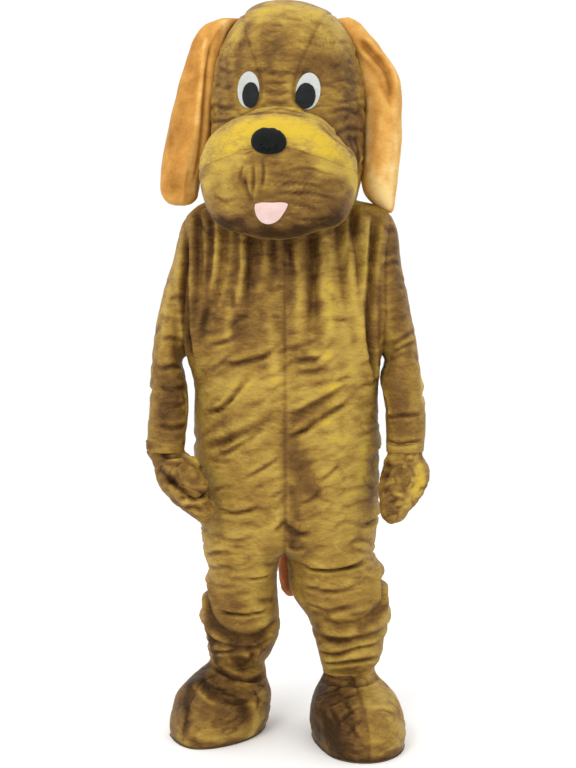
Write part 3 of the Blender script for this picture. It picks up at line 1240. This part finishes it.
# %% Folds and strokes of the ears
EAR_FOLDS = [
    # side, path, depth, width, above, below, hang, tone, ends
    ("left", ((214, 34), (209, 58), (206, 90), (203, 123), (199, 160), (193, 186)),
     0.0035, 0.006, 0.2, 0.8, 0.0, 0.3, 0.12),
    ("right", ((358, 38), (368, 50), (379, 62), (388, 76), (392, 100)),
     0.012, 0.008, 0.5, 0.8, -0.004, 1.3, 0.2),
    ("right", ((380, 84), (388, 98), (396, 112)), 0.005, 0.008, 0.5, 0.3, 0.0, 0.3, 0.3),
]
EAR_STROKES = [
    # side, path, width, tone, lift
    ("left", ((206, 40), (202, 68), (199, 100), (196, 130), (190, 168)), 0.006, 0.7, 0.002),
    ("left", ((196, 150), (190, 185), (180, 202)), 0.026, 0.4, 0.0),
    ("left", ((170, 187), (174, 190)), 0.014, -0.25, -0.006),
    ("left", ((209, 60), (208, 100), (205, 150)), 0.012, 0.5, 0.0),
    ("left", ((166, 196), (180, 202), (194, 196)), 0.012, 0.1, 0.0),
    ("left", ((182, 105), (180, 125)), 0.020, -0.5, 0.0),
    ("left", ((194, 44), (190, 66)), 0.016, -0.4, 0.0),
    ("left", ((170, 142), (176, 160)), 0.022, -0.5, 0.0),
    ("left", ((196, 165), (193, 190)), 0.010, 0.5, 0.0),
    ("left", ((225, 22), (223, 36)), 0.010, 0.9, 0.0),
    ("right", ((372, 70), (378, 90), (378, 120)), 0.016, 0.2, 0.0),
    ("right", ((396, 110), (394, 150), (390, 200)), 0.020, 0.6, 0.0),
    ("right", ((376, 176), (384, 206)), 0.030, 1.0, 0.0),
    ("right", ((366, 48), (380, 68), (391, 92)), 0.018, -0.8, 0.0),
    ("right", ((369, 100), (368, 130), (367, 160)), 0.010, 0.9, 0.0),
    ("right", ((380, 60), (390, 80)), 0.014, -0.6, 0.0),
    ("right", ((377, 158), (377, 182)), 0.012, -0.5, 0.0),
    ("right", ((380, 196), (387, 208)), 0.010, 0.8, 0.0),
]
for side, path, depth, width, above, below, hang, tone, ends in EAR_FOLDS:
    fold(ears[side], lay(ears[side], path), depth, width, above, below, hang, tone, ends)
for side, path, width, tone, lift in EAR_STROKES:
    stroke(ears[side], lay(ears[side], path), width, tone, lift)
print(len(EAR_FOLDS), "folds and", len(EAR_STROKES), "strokes on the ears")

# %% Shape the ears
for side, seed, lighter in (("left", 21, -0.25), ("right", 22, 0.30)):
    cloth = ears[side]
    crumple(cloth, 0.004, (0.06, 0.06, 0.09), seed, tone=0.5)
    crumple(cloth, 0.0012, (0.022, 0.022, 0.030), seed + 5, tone=0.3)
    set_folds(cloth)
    for point in cloth.thing.data.attributes["tone"].data:
        point.value += lighter

# %% [markdown]
# ## Gloves, booties and tail
# A glove is a bag of plush for the whole hand with a thumb sewn on, and the hand in it is a loose
# fist. A bootie is two halves joined over the toe, stuffed round and wide, on a flat sole. The tail is
# a stuffed tube that hangs from the seat.

# %% Folds and strokes of the gloves
gloves = {side: Cloth(smooth_skin(f"glove_{side}", [f"glove_{side}"])) for side in SIDES}
KNUCKLES = ((163, 478), (172, 480), (182, 488), (194, 494), (207, 493), (214, 487))
fold(gloves["left"], lay(gloves["left"], KNUCKLES), 0.016, 0.009, above=0.5, below=0.2, hang=0.006,
     tone=0.9, ends=0.15)
GLOVE_FOLDS = [
    # side, path, depth
    ("left", ((178, 500), (190, 497), (200, 503)), 0.006),
    ("left", ((176, 512), (190, 508), (206, 512)), 0.006),
    ("left", ((160, 452), (172, 458), (184, 456)), 0.005),
    ("left", ((164, 466), (176, 464), (188, 470)), 0.005),
    ("right", ((384, 462), (394, 468), (406, 462)), 0.0036),
    ("right", ((380, 478), (394, 474), (408, 478)), 0.0036),
    ("right", ((382, 492), (396, 488), (410, 494)), 0.0042),
    ("right", ((408, 462), (413, 474), (418, 478)), 0.0048),
    ("right", ((404, 472), (408, 482), (404, 492)), 0.0048),
    ("right", ((388, 506), (398, 500), (408, 502)), 0.0036),
]
GLOVE_STROKES = [
    # side, path, width, tone, lift
    ("left", ((206, 470), (214, 482), (213, 500)), 0.016, -0.4, -0.010),
    ("left", ((162, 450), (166, 470), (172, 480)), 0.014, -0.6, 0.0),
    ("left", ((180, 446), (190, 456), (204, 468)), 0.014, 0.6, 0.0),
    ("left", ((172, 446), (184, 452), (196, 460)), 0.014, 1.1, 0.0),
    ("left", ((184, 472), (193, 484), (198, 494)), 0.016, -0.6, 0.0),
    ("right", ((420, 470), (414, 490), (404, 510)), 0.016, 0.5, -0.006),
    ("right", ((388, 466), (388, 490), (392, 508)), 0.018, -0.5, 0.0),
    ("right", ((416, 458), (421, 474), (417, 490)), 0.014, 1.0, 0.0),
]
for side, path, depth in GLOVE_FOLDS:
    fold(gloves[side], lay(gloves[side], path), depth, 0.006, tone=0.6)
for side, path, width, tone, lift in GLOVE_STROKES:
    stroke(gloves[side], lay(gloves[side], path), width, tone, lift)
push(gloves["right"], (0.345, -0.05, -0.625), (0.035, 0.20, 0.035), (0.011, 0.0, 0.0))
print(1 + len(GLOVE_FOLDS), "folds and", len(GLOVE_STROKES), "strokes on the gloves")

# %% Shape the gloves
hand_pieces = {}
for side, seed, tone in (("left", 31, -0.3), ("right", 32, -0.1)):
    cloth, name = gloves[side], f"glove_{side}"
    crumple(cloth, 0.006, (0.045, 0.045, 0.035), seed, tone=0.3)
    crumple(cloth, 0.0022, (0.020, 0.020, 0.016), seed + 5, tone=0.4)
    crease(cloth, 0.003, (0.030, 0.030, 0.022), seed + 9, sharp=0.14, tone=0.5)
    set_folds(cloth)
    hand_pieces.update(cut_apart(cloth.thing, [name], {name: tone}))


# %% Rounded copies of the stuffed pieces
def rounded(node, name, grow=(1.0, 1.0, 1.0), shift=(0.0, 0.0, 0.0)):
    """A soft copy of a solid of the model, grown about its middle along x, y and z and shifted."""
    mesh = frame["nodes"][node].data.copy()
    mesh.name = name
    low, high = (Vector(corner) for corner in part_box(node))
    middle = (low + high) / 2
    mesh.transform(Matrix.Translation(middle + Vector(shift)) @ Matrix.Diagonal((*grow, 1.0))
                   @ Matrix.Translation(-middle))
    fix = bmesh.new()
    fix.from_mesh(mesh)
    bmesh.ops.remove_doubles(fix, verts=fix.verts, dist=TINY)
    bmesh.ops.join_triangles(fix, faces=fix.faces, **PAIRING)
    fix.to_mesh(mesh)
    fix.free()
    mesh.materials.clear()
    made = link(name, mesh)
    subdivide(made)
    made.data.shade_smooth()
    return made


# %% Thumbs and tail
THUMB_GROW = (1.30, 0.75, 1.25)       # wide and flat, as a thumb pressed on the hand
for side, seed, back in (("left", 41, 0.012), ("right", 42, 0.015)):
    name = f"glove_{side}_thumb"
    thumb = Cloth(rounded(name, name + "_pad", THUMB_GROW, (0.0, back, 0.0)))
    crumple(thumb, 0.005, (0.035, 0.035, 0.035), seed, tone=0.4)
    crumple(thumb, 0.002, (0.016, 0.016, 0.016), seed + 5, tone=0.4)
    thumb.tone -= 0.35
    set_folds(thumb)
    hand_pieces[name] = thumb.thing

tail = Cloth(rounded("tail", "tail_plush_tube"))
crumple(tail, 0.004, (0.03, 0.03, 0.05), 51, tone=0.5)
crumple(tail, 0.002, (0.015, 0.015, 0.015), 52, tone=0.4)
set_folds(tail)

# %% Folds and strokes of the booties
BOOTIE_FOLDS = [
    # side, path, depth, width
    ("left", ((210, 664), (226, 674), (246, 680), (264, 677)), 0.008, 0.007),
    ("left", ((198, 684), (214, 690), (232, 688)), 0.004, 0.006),
    ("left", ((212, 700), (232, 704), (252, 700)), 0.003, 0.006),
    ("left", ((250, 686), (256, 700), (252, 716)), 0.003, 0.006),
    ("right", ((320, 680), (340, 686), (366, 684), (380, 676)), 0.006, 0.006),
    ("right", ((345, 700), (352, 712), (360, 716)), 0.003, 0.005),
    ("right", ((350, 722), (356, 734), (362, 742)), 0.003, 0.005),
    ("right", ((328, 706), (336, 718), (338, 734)), 0.003, 0.006),
    ("right", ((326, 708), (345, 698), (364, 689)), 0.004, 0.005),
    ("right", ((334, 728), (350, 713), (364, 705)), 0.004, 0.005),
    ("right", ((344, 740), (356, 724), (366, 717)), 0.003, 0.005),
    ("right", ((318, 697), (338, 689), (358, 681)), 0.003, 0.005),
    ("right", ((372, 712), (384, 710), (398, 716)), 0.003, 0.005),
]
BOOTIE_STROKES = [
    # side, path, width, tone
    ("left", ((192, 682), (214, 694), (244, 704)), 0.034, -1.0),
    ("left", ((172, 716), (182, 736), (214, 744)), 0.020, 0.4),
    ("left", ((170, 732), (173, 708), (187, 689), (206, 673)), 0.015, -1.1),
    ("left", ((180, 744), (205, 748), (234, 743)), 0.010, -0.6),
    ("left", ((248, 704), (255, 718), (252, 732)), 0.018, 1.3),
    ("left", ((210, 666), (230, 678), (262, 682)), 0.010, -0.7),
    ("left", ((188, 692), (198, 702), (206, 706)), 0.006, 0.7),
    ("left", ((260, 692), (262, 716), (254, 730)), 0.014, 0.7),
    ("right", ((322, 690), (322, 720), (340, 750)), 0.034, -0.4),
    ("right", ((376, 722), (378, 744)), 0.020, -0.15),
    ("right", ((312, 744), (309, 720), (311, 697), (324, 677)), 0.016, -1.4),
    ("right", ((316, 753), (345, 761), (380, 760), (401, 749)), 0.010, -1.2),
    ("right", ((354, 690), (357, 720), (356, 748)), 0.010, 0.5),
    ("right", ((372, 669), (384, 678), (391, 690)), 0.010, -0.6),
]
HALVES = {side: [f"bootie_{side}_outer", f"bootie_{side}_inner"] for side in SIDES}
booties = {side: Cloth(smooth_skin(f"bootie_{side}", HALVES[side])) for side in SIDES}
INSTEP = ((192, 688), (202, 676), (212, 666))
stroke(booties["left"], lay(booties["left"], INSTEP), 0.045, 0.0, 0.014)
for side, path, depth, width in BOOTIE_FOLDS:
    fold(booties[side], lay(booties[side], path), depth, width, above=0.6, below=0.3, hang=0.002,
         tone=0.7)
for side, path, width, tone in BOOTIE_STROKES:
    stroke(booties[side], lay(booties[side], path), width, tone)
print(len(BOOTIE_FOLDS), "folds and", 1 + len(BOOTIE_STROKES), "strokes on the booties")

# %% Form of a foot
TOE = np.array((-0.616, -0.788, 0.0))   # the way in which the left foot points
INSTEP_MIDDLE = (-0.150, -0.045, 0.0)
ANKLE_HEIGHT = 0.165                    # over the toe the foot is full below this height


def foot_form(side, places):
    """How far the foot's shape moves each place: narrow at the ground, full over the toe."""
    height = places[:, 2] - FLOOR
    low = np.clip((0.14 - height) / 0.08, 0.0, 1.0)
    move = np.zeros_like(places)
    if side == "left":
        reach = (places - INSTEP_MIDDLE) @ TOE
        drawn_in = (0.024 * np.clip(reach / 0.14, 0.0, 1.0) * np.clip(0.5 + height / 0.16, 0.0, 1.0)
                    * np.clip((ANKLE_HEIGHT - height) / 0.06, 0.0, 1.0))
        move -= drawn_in[:, None] * TOE
        move[:, 0] -= 0.11 * low * (places[:, 0] + 0.165)
        corner = np.exp(-(((places[:, :2] - (-0.30, -0.19)) / 0.07) ** 2).sum(1)) * low
        move[:, 0] += 0.016 * corner
        move[:, 1] += 0.010 * corner
        heel = np.exp(-((places[:, 0] + 0.045) / 0.06) ** 2 - ((height - 0.07) / 0.07) ** 2)
        move[:, 0] += 0.017 * heel
    else:
        corner = np.exp(-(((places[:, :2] - (0.06, -0.22)) / (0.05, 0.12)) ** 2).sum(1)) * low
        move[:, 0] += 0.014 * corner
    return move


# %% Shape the booties
GROUND_HELD, GROUND_FREE = 0.004, 0.012  # folds fade out between these heights over the floor
BOOTIE_TONES = {"bootie_right_inner": -0.15, "bootie_left_inner": -0.35, "bootie_left_outer": -0.35}

foot_pieces = {}
for side, seed in (("left", 61), ("right", 62)):
    cloth = booties[side]
    sink_seams(cloth, 0.0030, 0.0045, tone=0.3)
    crumple(cloth, 0.0030, (0.07, 0.07, 0.05), seed, tone=0.30)
    crumple(cloth, 0.0012, (0.035, 0.035, 0.016), seed + 5, tone=0.40)
    crease(cloth, 0.0018, (0.05, 0.05, 0.022), seed + 9, sharp=0.13, tone=0.4)
    above_floor = cloth.rest[:, 2:3] - FLOOR
    ground = above_floor[:, 0] < GROUND_FREE
    cloth.move[ground] *= np.clip((above_floor[ground] - GROUND_HELD) / 0.008, 0.0, 1.0)
    cloth.move += foot_form(side, cloth.rest)
    if side == "right":
        inside = np.clip(0.5 - (cloth.rest[:, 0] - 0.180) / 0.036, 0.0, 1.0)
        cloth.tone += 0.15 - 1.05 * inside
    set_folds(cloth)
    foot_pieces.update(cut_apart(cloth.thing, HALVES[side], BOOTIE_TONES))

# %% Soles
SOLE_LEVELS = (
    # height, how far in from the outline
    (0.0, 0.006), (0.0012, 0.0015), (0.0028, 0.0015), (0.0038, 0.006),
)


def sole(side):
    """A flat sole under the two halves of a bootie, with a smooth outline."""
    node = frame["nodes"][f"bootie_{side}_sole"]
    low = min(v.co.z for v in node.data.vertices)
    corners = [v.co.copy() for v in node.data.vertices if v.co.z < low + 0.001]
    middle = sum(corners, Vector()) / len(corners)
    corners.sort(key=lambda place: math.atan2(place.y - middle.y, place.x - middle.x))
    loop = [place for i, place in enumerate(corners) if (place - corners[i - 1]).length > 1e-4]
    moves = foot_form(side, np.array([tuple(place) for place in loop]))
    loop = [place + Vector(move) for place, move in zip(loop, moves)]
    outline = bend(loop + loop[:1], 6 * len(loop))[:-1]
    shape = bmesh.new()
    levels = []
    for height, inset in SOLE_LEVELS:
        ring = []
        for place in outline:
            kept = 1 - inset / (place - middle).length
            x, y = middle.x + (place.x - middle.x) * kept, middle.y + (place.y - middle.y) * kept
            ring.append(shape.verts.new((x, y, low + height)))
        levels.append(ring)
    for below, above in zip(levels, levels[1:]):
        for step in range(len(outline)):
            after = (step + 1) % len(outline)
            shape.faces.new((below[step], below[after], above[after], above[step]))
    shape.faces.new(levels[0][::-1])
    shape.faces.new(levels[-1])
    mesh = bpy.data.meshes.new(f"sole_{side}")
    shape.to_mesh(mesh)
    shape.free()
    face_outward(mesh)
    return link(f"sole_{side}", mesh)


for side in SIDES:
    foot_pieces[f"bootie_{side}_sole"] = sole(side)
print("feet made of", sorted(foot_pieces))

# %% [markdown]
# ## The zip's tape
# A zip closes the back of the suit. It is sewn in behind the seam, so only its tape and the closed
# row of its teeth lie inside. The strip follows the folded back, a few millimetres under it.

# %% Tape and teeth of the zip
ACROSS_TAPE = (-1.0, -0.55, -0.16, -0.09, 0.09, 0.16, 0.55, 1.0)
RAISED = (0.0, 0.0, 0.0, 1.0, 1.0, 0.0, 0.0, 0.0)
TAPE_INSIDE = 0.0052                  # depth of the tape under the plush
TOOTH, GAP = 0.0012, 0.0003           # height of a tooth, and of the row between two teeth
END_ROOM = 0.003


def zip_tape(name, low, high, half_width, teeth):
    """A strip behind the centre of the back, with a raised row of teeth along its middle."""
    grid = []
    rows = 2 * teeth
    for row in range(rows + 1):
        height = high + (low - high) * row / rows
        line = []
        for share, up in zip(ACROSS_TAPE, RAISED):
            start = Vector((share * half_width, FAR, height))
            place, normal = suit_surface.ray_cast(start, Vector((0.0, -1.0, 0.0)))[:2]
            line.append(place - normal * (TAPE_INSIDE - up * (TOOTH if row % 2 else GAP)))
        grid.append(line)
    count = len(ACROSS_TAPE)
    points = [place for line in grid for place in line]
    faces = [(r * count + c, r * count + c + 1, (r + 1) * count + c + 1, (r + 1) * count + c)
             for r in range(rows) for c in range(count - 1)]
    mesh = bpy.data.meshes.new(name)
    mesh.from_pydata(points, [], faces)
    strip = link(name, mesh)
    shell = strip.modifiers.new("wall", "SOLIDIFY")
    shell.thickness = 0.0008
    apply_modifiers(strip)
    face_outward(strip.data)
    return strip


tape_low, tape_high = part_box("back_zip_tape")
tape = zip_tape("zip_tape_closed", tape_low[2] + END_ROOM, tape_high[2] - END_ROOM, 0.013, 150)
print("zip tape:", len(tape.data.vertices), "points")

# %% [markdown]
# ## Finishes
# Plush is a knitted backing with a pile of about 4 mm. It isn't seen hair by hair: what shows is that
# the pile lies in crushed patches, bright where it leans to the light and brown where it leans away.
# The colour comes from the tone that the folds gave each point, with patches and short streaks of
# noise added, through a ramp from brown to gold. Fine bump and a sheen make the pile's soft rim.

# %% Steps of a finish
class Finish:
    """A material, and the few steps that the finishes here are made of."""

    def __init__(self, name, roughness, sheen=0.0, sheen_roughness=0.4, tint=(1.0, 1.0, 1.0), gloss=0.5):
        self.material = bpy.data.materials.new(name)
        self.material.use_nodes = True
        self.tree = self.material.node_tree
        self.shader = self.tree.nodes["Principled BSDF"]
        self.place = self.tree.nodes.new("ShaderNodeTexCoord").outputs["Object"]
        for socket, value in (("Roughness", roughness), ("Sheen Weight", sheen),
                              ("Sheen Roughness", sheen_roughness), ("Sheen Tint", (*tint, 1.0)),
                              ("Specular Tint", (*tint, 1.0)), ("Specular IOR Level", gloss)):
            self.shader.inputs[socket].default_value = value

    def node(self, kind, inputs):
        """A new node. Each of its inputs is set to a number or joined to another node's output."""
        made = self.tree.nodes.new(kind)
        for socket, value in inputs.items():
            if isinstance(value, bpy.types.NodeSocket):
                self.tree.links.new(value, made.inputs[socket])
            else:
                made.inputs[socket].default_value = value
        return made

    def speckle(self, stretch, detail=3.0, rough=0.55, warp=0.0):
        """Noise whose grains are as many to the metre as stretch says along x, y and z."""
        scaled = self.node("ShaderNodeMapping", {"Vector": self.place, "Scale": stretch})
        noise = self.node("ShaderNodeTexNoise", {
            "Vector": scaled.outputs["Vector"], "Scale": 1.0, "Detail": detail, "Roughness": rough,
            "Distortion": warp})
        return noise.outputs["Fac"]

    def hairlines(self, stretch, detail=3.0, warp=0.0, narrow=0.035):
        """Thin wrinkles where a noise crosses its middle value: 1 on the line and 0 beside it."""
        away = self.node("ShaderNodeMath", {0: self.speckle(stretch, detail, 0.5, warp), 1: 0.5})
        away.operation = "SUBTRACT"
        size = self.node("ShaderNodeMath", {0: away.outputs[0]})
        size.operation = "ABSOLUTE"
        line = self.node("ShaderNodeMapRange", {
            "Value": size.outputs[0], "From Max": narrow, "To Min": 1.0, "To Max": 0.0})
        line.interpolation_type = "SMOOTHSTEP"
        return line.outputs["Result"]

    def tone(self):
        """The tone that the folds and strokes gave each point."""
        made = self.node("ShaderNodeAttribute", {})
        made.attribute_name = "tone"
        return made.outputs["Fac"]

    def mix(self, *terms, base=0.0):
        """The sum of shares of values: each term is a value and its share."""
        total = base
        for value, share in terms:
            made = self.node("ShaderNodeMath", {0: value, 1: share, 2: total})
            made.operation = "MULTIPLY_ADD"
            total = made.outputs[0]
        return total

    def colour(self, value, *stops):
        """Colours the shader by a value. Each stop is a place from 0 to 1 and a colour."""
        ramp = self.node("ShaderNodeValToRGB", {"Fac": value})
        marks = ramp.color_ramp.elements
        while len(marks) < len(stops):
            marks.new(0.5)
        for mark, (place, shade) in zip(marks, stops):
            mark.position = place
            mark.color = (*shade, 1.0)
        self.tree.links.new(ramp.outputs["Color"], self.shader.inputs["Base Color"])

    def relief(self, value, distance, strength):
        """Fine bumps as deep as the distance, where the value rises and falls."""
        bump = self.node("ShaderNodeBump", {"Height": value, "Distance": distance, "Strength": strength})
        self.tree.links.new(bump.outputs["Normal"], self.shader.inputs["Normal"])


# %% Brown and gold plush
PLUSH_COLOURS = (
    # place on the ramp, colour
    (0.0, (0.030, 0.013, 0.005)), (0.12, (0.068, 0.032, 0.011)), (0.33, (0.155, 0.080, 0.022)),
    (0.50, (0.275, 0.164, 0.034)), (0.66, (0.390, 0.262, 0.056)), (0.92, (0.555, 0.382, 0.034)),
)


def plush(name, shift=0.0, fine=1.0):
    """Shift lays the pile lighter, and fine strengthens its smallest marks."""
    made = Finish(name, 0.55, sheen=0.14, sheen_roughness=0.30, tint=(1.0, 0.72, 0.28), gloss=0.20)
    broad = made.speckle((6.5, 6.5, 8.0), detail=2.0, warp=0.4)
    patches = made.speckle((20.0, 20.0, 34.0), detail=4.0, rough=0.55, warp=0.9)
    streaks = made.speckle((75.0, 75.0, 190.0), detail=3.0, rough=0.6, warp=0.5)
    pile = made.speckle((260.0, 260.0, 420.0), detail=2.0)
    wrinkles = made.hairlines((17.0, 17.0, 40.0), detail=1.5, warp=0.8, narrow=0.055)
    lie = made.mix((made.tone(), 0.30), (broad, 0.35), (patches, 0.36), (streaks, 0.28 * fine),
                   (pile, 0.12 * fine), (wrinkles, -0.045), base=0.13 - 0.20 * fine + shift)
    made.colour(lie, *PLUSH_COLOURS)
    bumps = made.mix((patches, 0.25), (streaks, 0.25), (pile, 0.22), (wrinkles, -0.35))
    made.relief(bumps, 0.004, 0.45)
    return made.material


BROWN_PLUSH = plush("brown_gold_plush")
YOKE_PLUSH = plush("gold_muzzle_plush", 0.03, 2.3)
print("plush:", BROWN_PLUSH.name, YOKE_PLUSH.name)


# %% Short plush of the ears and the tail
def short_plush(name, base, *stops):
    """A denser, shorter pile. Base lays all of it lighter."""
    made = Finish(name, 0.7, sheen=0.14, sheen_roughness=0.4, tint=(1.0, 0.72, 0.36), gloss=0.2)
    patches = made.speckle((20.0, 20.0, 26.0), detail=4.0, rough=0.6, warp=0.6)
    fine = made.speckle((120.0, 120.0, 160.0), detail=4.0, rough=0.65)
    pile = made.speckle((650.0, 650.0, 650.0), detail=2.0)
    lie = made.mix((made.tone(), 0.22), (patches, 0.36), (fine, 0.20), (pile, 0.08), base=base + 0.12)
    made.colour(lie, *stops)
    made.relief(made.mix((patches, 0.3), (fine, 0.3), (pile, 0.3)), 0.003, 0.5)
    return made.material


EAR_PLUSH = short_plush(
    "orange_ear_plush", 0.05, (0.25, (0.28, 0.118, 0.020)), (0.45, (0.50, 0.235, 0.050)),
    (0.60, (0.65, 0.355, 0.090)), (0.78, (0.80, 0.580, 0.240)))
TAIL_PLUSH = short_plush(
    "red_brown_tail_plush", 0.02, (0.30, (0.16, 0.045, 0.014)), (0.50, (0.38, 0.125, 0.045)),
    (0.75, (0.60, 0.260, 0.110)))
print("short plush:", EAR_PLUSH.name, TAIL_PLUSH.name)


# %% Felt, black pile, sole cloth and zip tape
def felt(name, dark, light, grain=260.0, roughness=0.9, sheen=0.2):
    """Matted fibres between two close colours, with a faint relief of their own."""
    made = Finish(name, roughness, sheen=sheen, gloss=0.2)
    fibres = made.speckle((grain, grain, grain), detail=5.0, rough=0.7, warp=1.2)
    wear = made.speckle((30.0, 30.0, 30.0), detail=2.0)
    made.colour(made.mix((fibres, 0.6), (wear, 0.4)), (0.35, dark), (0.65, light))
    made.relief(fibres, 0.0012, 0.5)
    return made.material


WHITE_FELT = felt("white_eye_felt", (0.40, 0.42, 0.41), (0.54, 0.55, 0.53))
PUPIL_MESH = felt("black_pupil_mesh", (0.003, 0.004, 0.005), (0.012, 0.015, 0.016), grain=420.0,
                  roughness=0.7, sheen=0.05)
BLACK_PLUSH = felt("black_nose_plush", (0.002, 0.003, 0.003), (0.007, 0.008, 0.008), grain=600.0,
                   sheen=0.03)
PINK_FELT = felt("pink_tongue_felt", (0.65, 0.44, 0.41), (0.77, 0.59, 0.55))
SOLE_CLOTH = felt("dark_sole_cloth", (0.050, 0.030, 0.015), (0.12, 0.075, 0.035), grain=500.0)
ZIP_TAPE = felt("brown_zip_tape", (0.045, 0.024, 0.010), (0.10, 0.055, 0.022), grain=700.0)

studio_floor = Finish("pale_floor", 0.9, gloss=0.1)
clouds = studio_floor.speckle((2.0, 2.0, 2.0))
studio_floor.colour(clouds, (0.3, (0.96, 0.96, 0.96)), (0.7, (0.98, 0.98, 0.98)))
floor.data.materials.append(studio_floor.material)
print(len(bpy.data.materials), "materials")

# %% [markdown]
# ## Hand over
# Every piece rides on the one body of the costume, stands for its solid, and takes that solid's
# material slot. Each cloth piece also states the size it was cut to.

# %% Pieces, slots and materials
ALL = {}
for group in (suit_pieces, head_pieces, face_pieces, hand_pieces, foot_pieces):
    ALL.update(group)
ALL.update({"ear_left": ears["left"].thing, "ear_right": ears["right"].thing, "tail": tail.thing,
            "back_zip_tape": tape})
SLOTS = {part["node"]: part["material_slot"] for part in frame["record"]["subparts"]}
FINISHES = {
    "plush": BROWN_PLUSH, "plush_yoke": YOKE_PLUSH, "ear_plush": EAR_PLUSH, "tail_plush": TAIL_PLUSH,
    "white_felt": WHITE_FELT, "pink_felt": PINK_FELT, "zip_tape": ZIP_TAPE,
}
for node, piece in ALL.items():
    material = FINISHES.get(SLOTS[node], BLACK_PLUSH)
    if node.startswith("pupil"):
        material = PUPIL_MESH
    if node.endswith("sole"):
        material = SOLE_CLOTH
    piece.data.materials.clear()
    piece.data.materials.append(material)
    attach(piece, "root")
    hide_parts(node)
print(len(ALL), "pieces,", sum(len(piece.data.polygons) for piece in ALL.values()), "faces")
print("nodes without a piece:", set(SLOTS) - set(ALL))

# %% Cut sizes
CUTS = {
    # width, length, flat area, how it is held, what it rests on or hangs from
    "suit_front": (0.48, 1.30, 0.44, "gathered", ("suit_back_SIDE",)),
    "suit_back": (0.48, 1.30, 0.44, "gathered", ("suit_front_SIDE",)),
    "sleeve": (0.40, 0.62, 0.19, "hung", ("suit_front_SIDE", "suit_back_SIDE")),
    "head_crown": (0.28, 0.95, 0.19, "stretched", ("head_side_left", "head_side_right")),
    "head_side": (0.42, 0.54, 0.18, "stretched", ("head_crown",)),
    "muzzle_upper": (0.27, 0.48, 0.088, "stretched",
                     ("head_crown", "head_side_left", "head_side_right")),
    "muzzle_lower": (0.29, 0.72, 0.145, "stretched", ("muzzle_upper",)),
    "eye_white": (0.060, 0.092, 0.0043, "laid", ("head_crown", "head_side_SIDE")),
    "pupil": (0.048, 0.066, 0.0025, "laid", ("eye_white_SIDE",)),
    "tongue": (0.080, 0.060, 0.0038, "laid", ("muzzle_lower",)),
    "glove": (0.38, 0.23, 0.070, "hung", ("sleeve_SIDE",)),
    "bootie": (0.42, 0.27, 0.082, "stretched", ("bootie_SIDE_sole",)),
    "back_zip_tape": (0.026, 0.605, 0.0157, "stretched", ("suit_back_left", "suit_back_right")),
}
SOLE_CUT = (0.25, 0.34, 0.058, "laid", ("bootie_SIDE_outer", "bootie_SIDE_inner"))
STUFFED = {
    # share of the room inside that the filling takes
    "nose": 0.9, "ear_left": 0.4, "ear_right": 0.4, "tail": 0.6, "glove_left_thumb": 0.7,
    "glove_right_thumb": 0.7,
}


def cut_of(node):
    """The line of the table for a node: a sole's own, or the one whose name the node starts with."""
    if node.endswith("sole"):
        return SOLE_CUT
    return next(cut for start, cut in CUTS.items() if node.startswith(start))


for node, piece in ALL.items():
    if node in STUFFED:
        continue
    width, length, area, held, under = cut_of(node)
    side = "left" if "left" in node else "right"
    below = [ALL[name.replace("SIDE", side)].name for name in under]
    shape = bmesh.new()
    shape.from_mesh(piece.data)
    half = sum(face.calc_area() for face in shape.faces) / 2
    shape.free()
    print(f"{node}: cut {area} square metres, made {half:.4f}, {half / area:.2f} times")
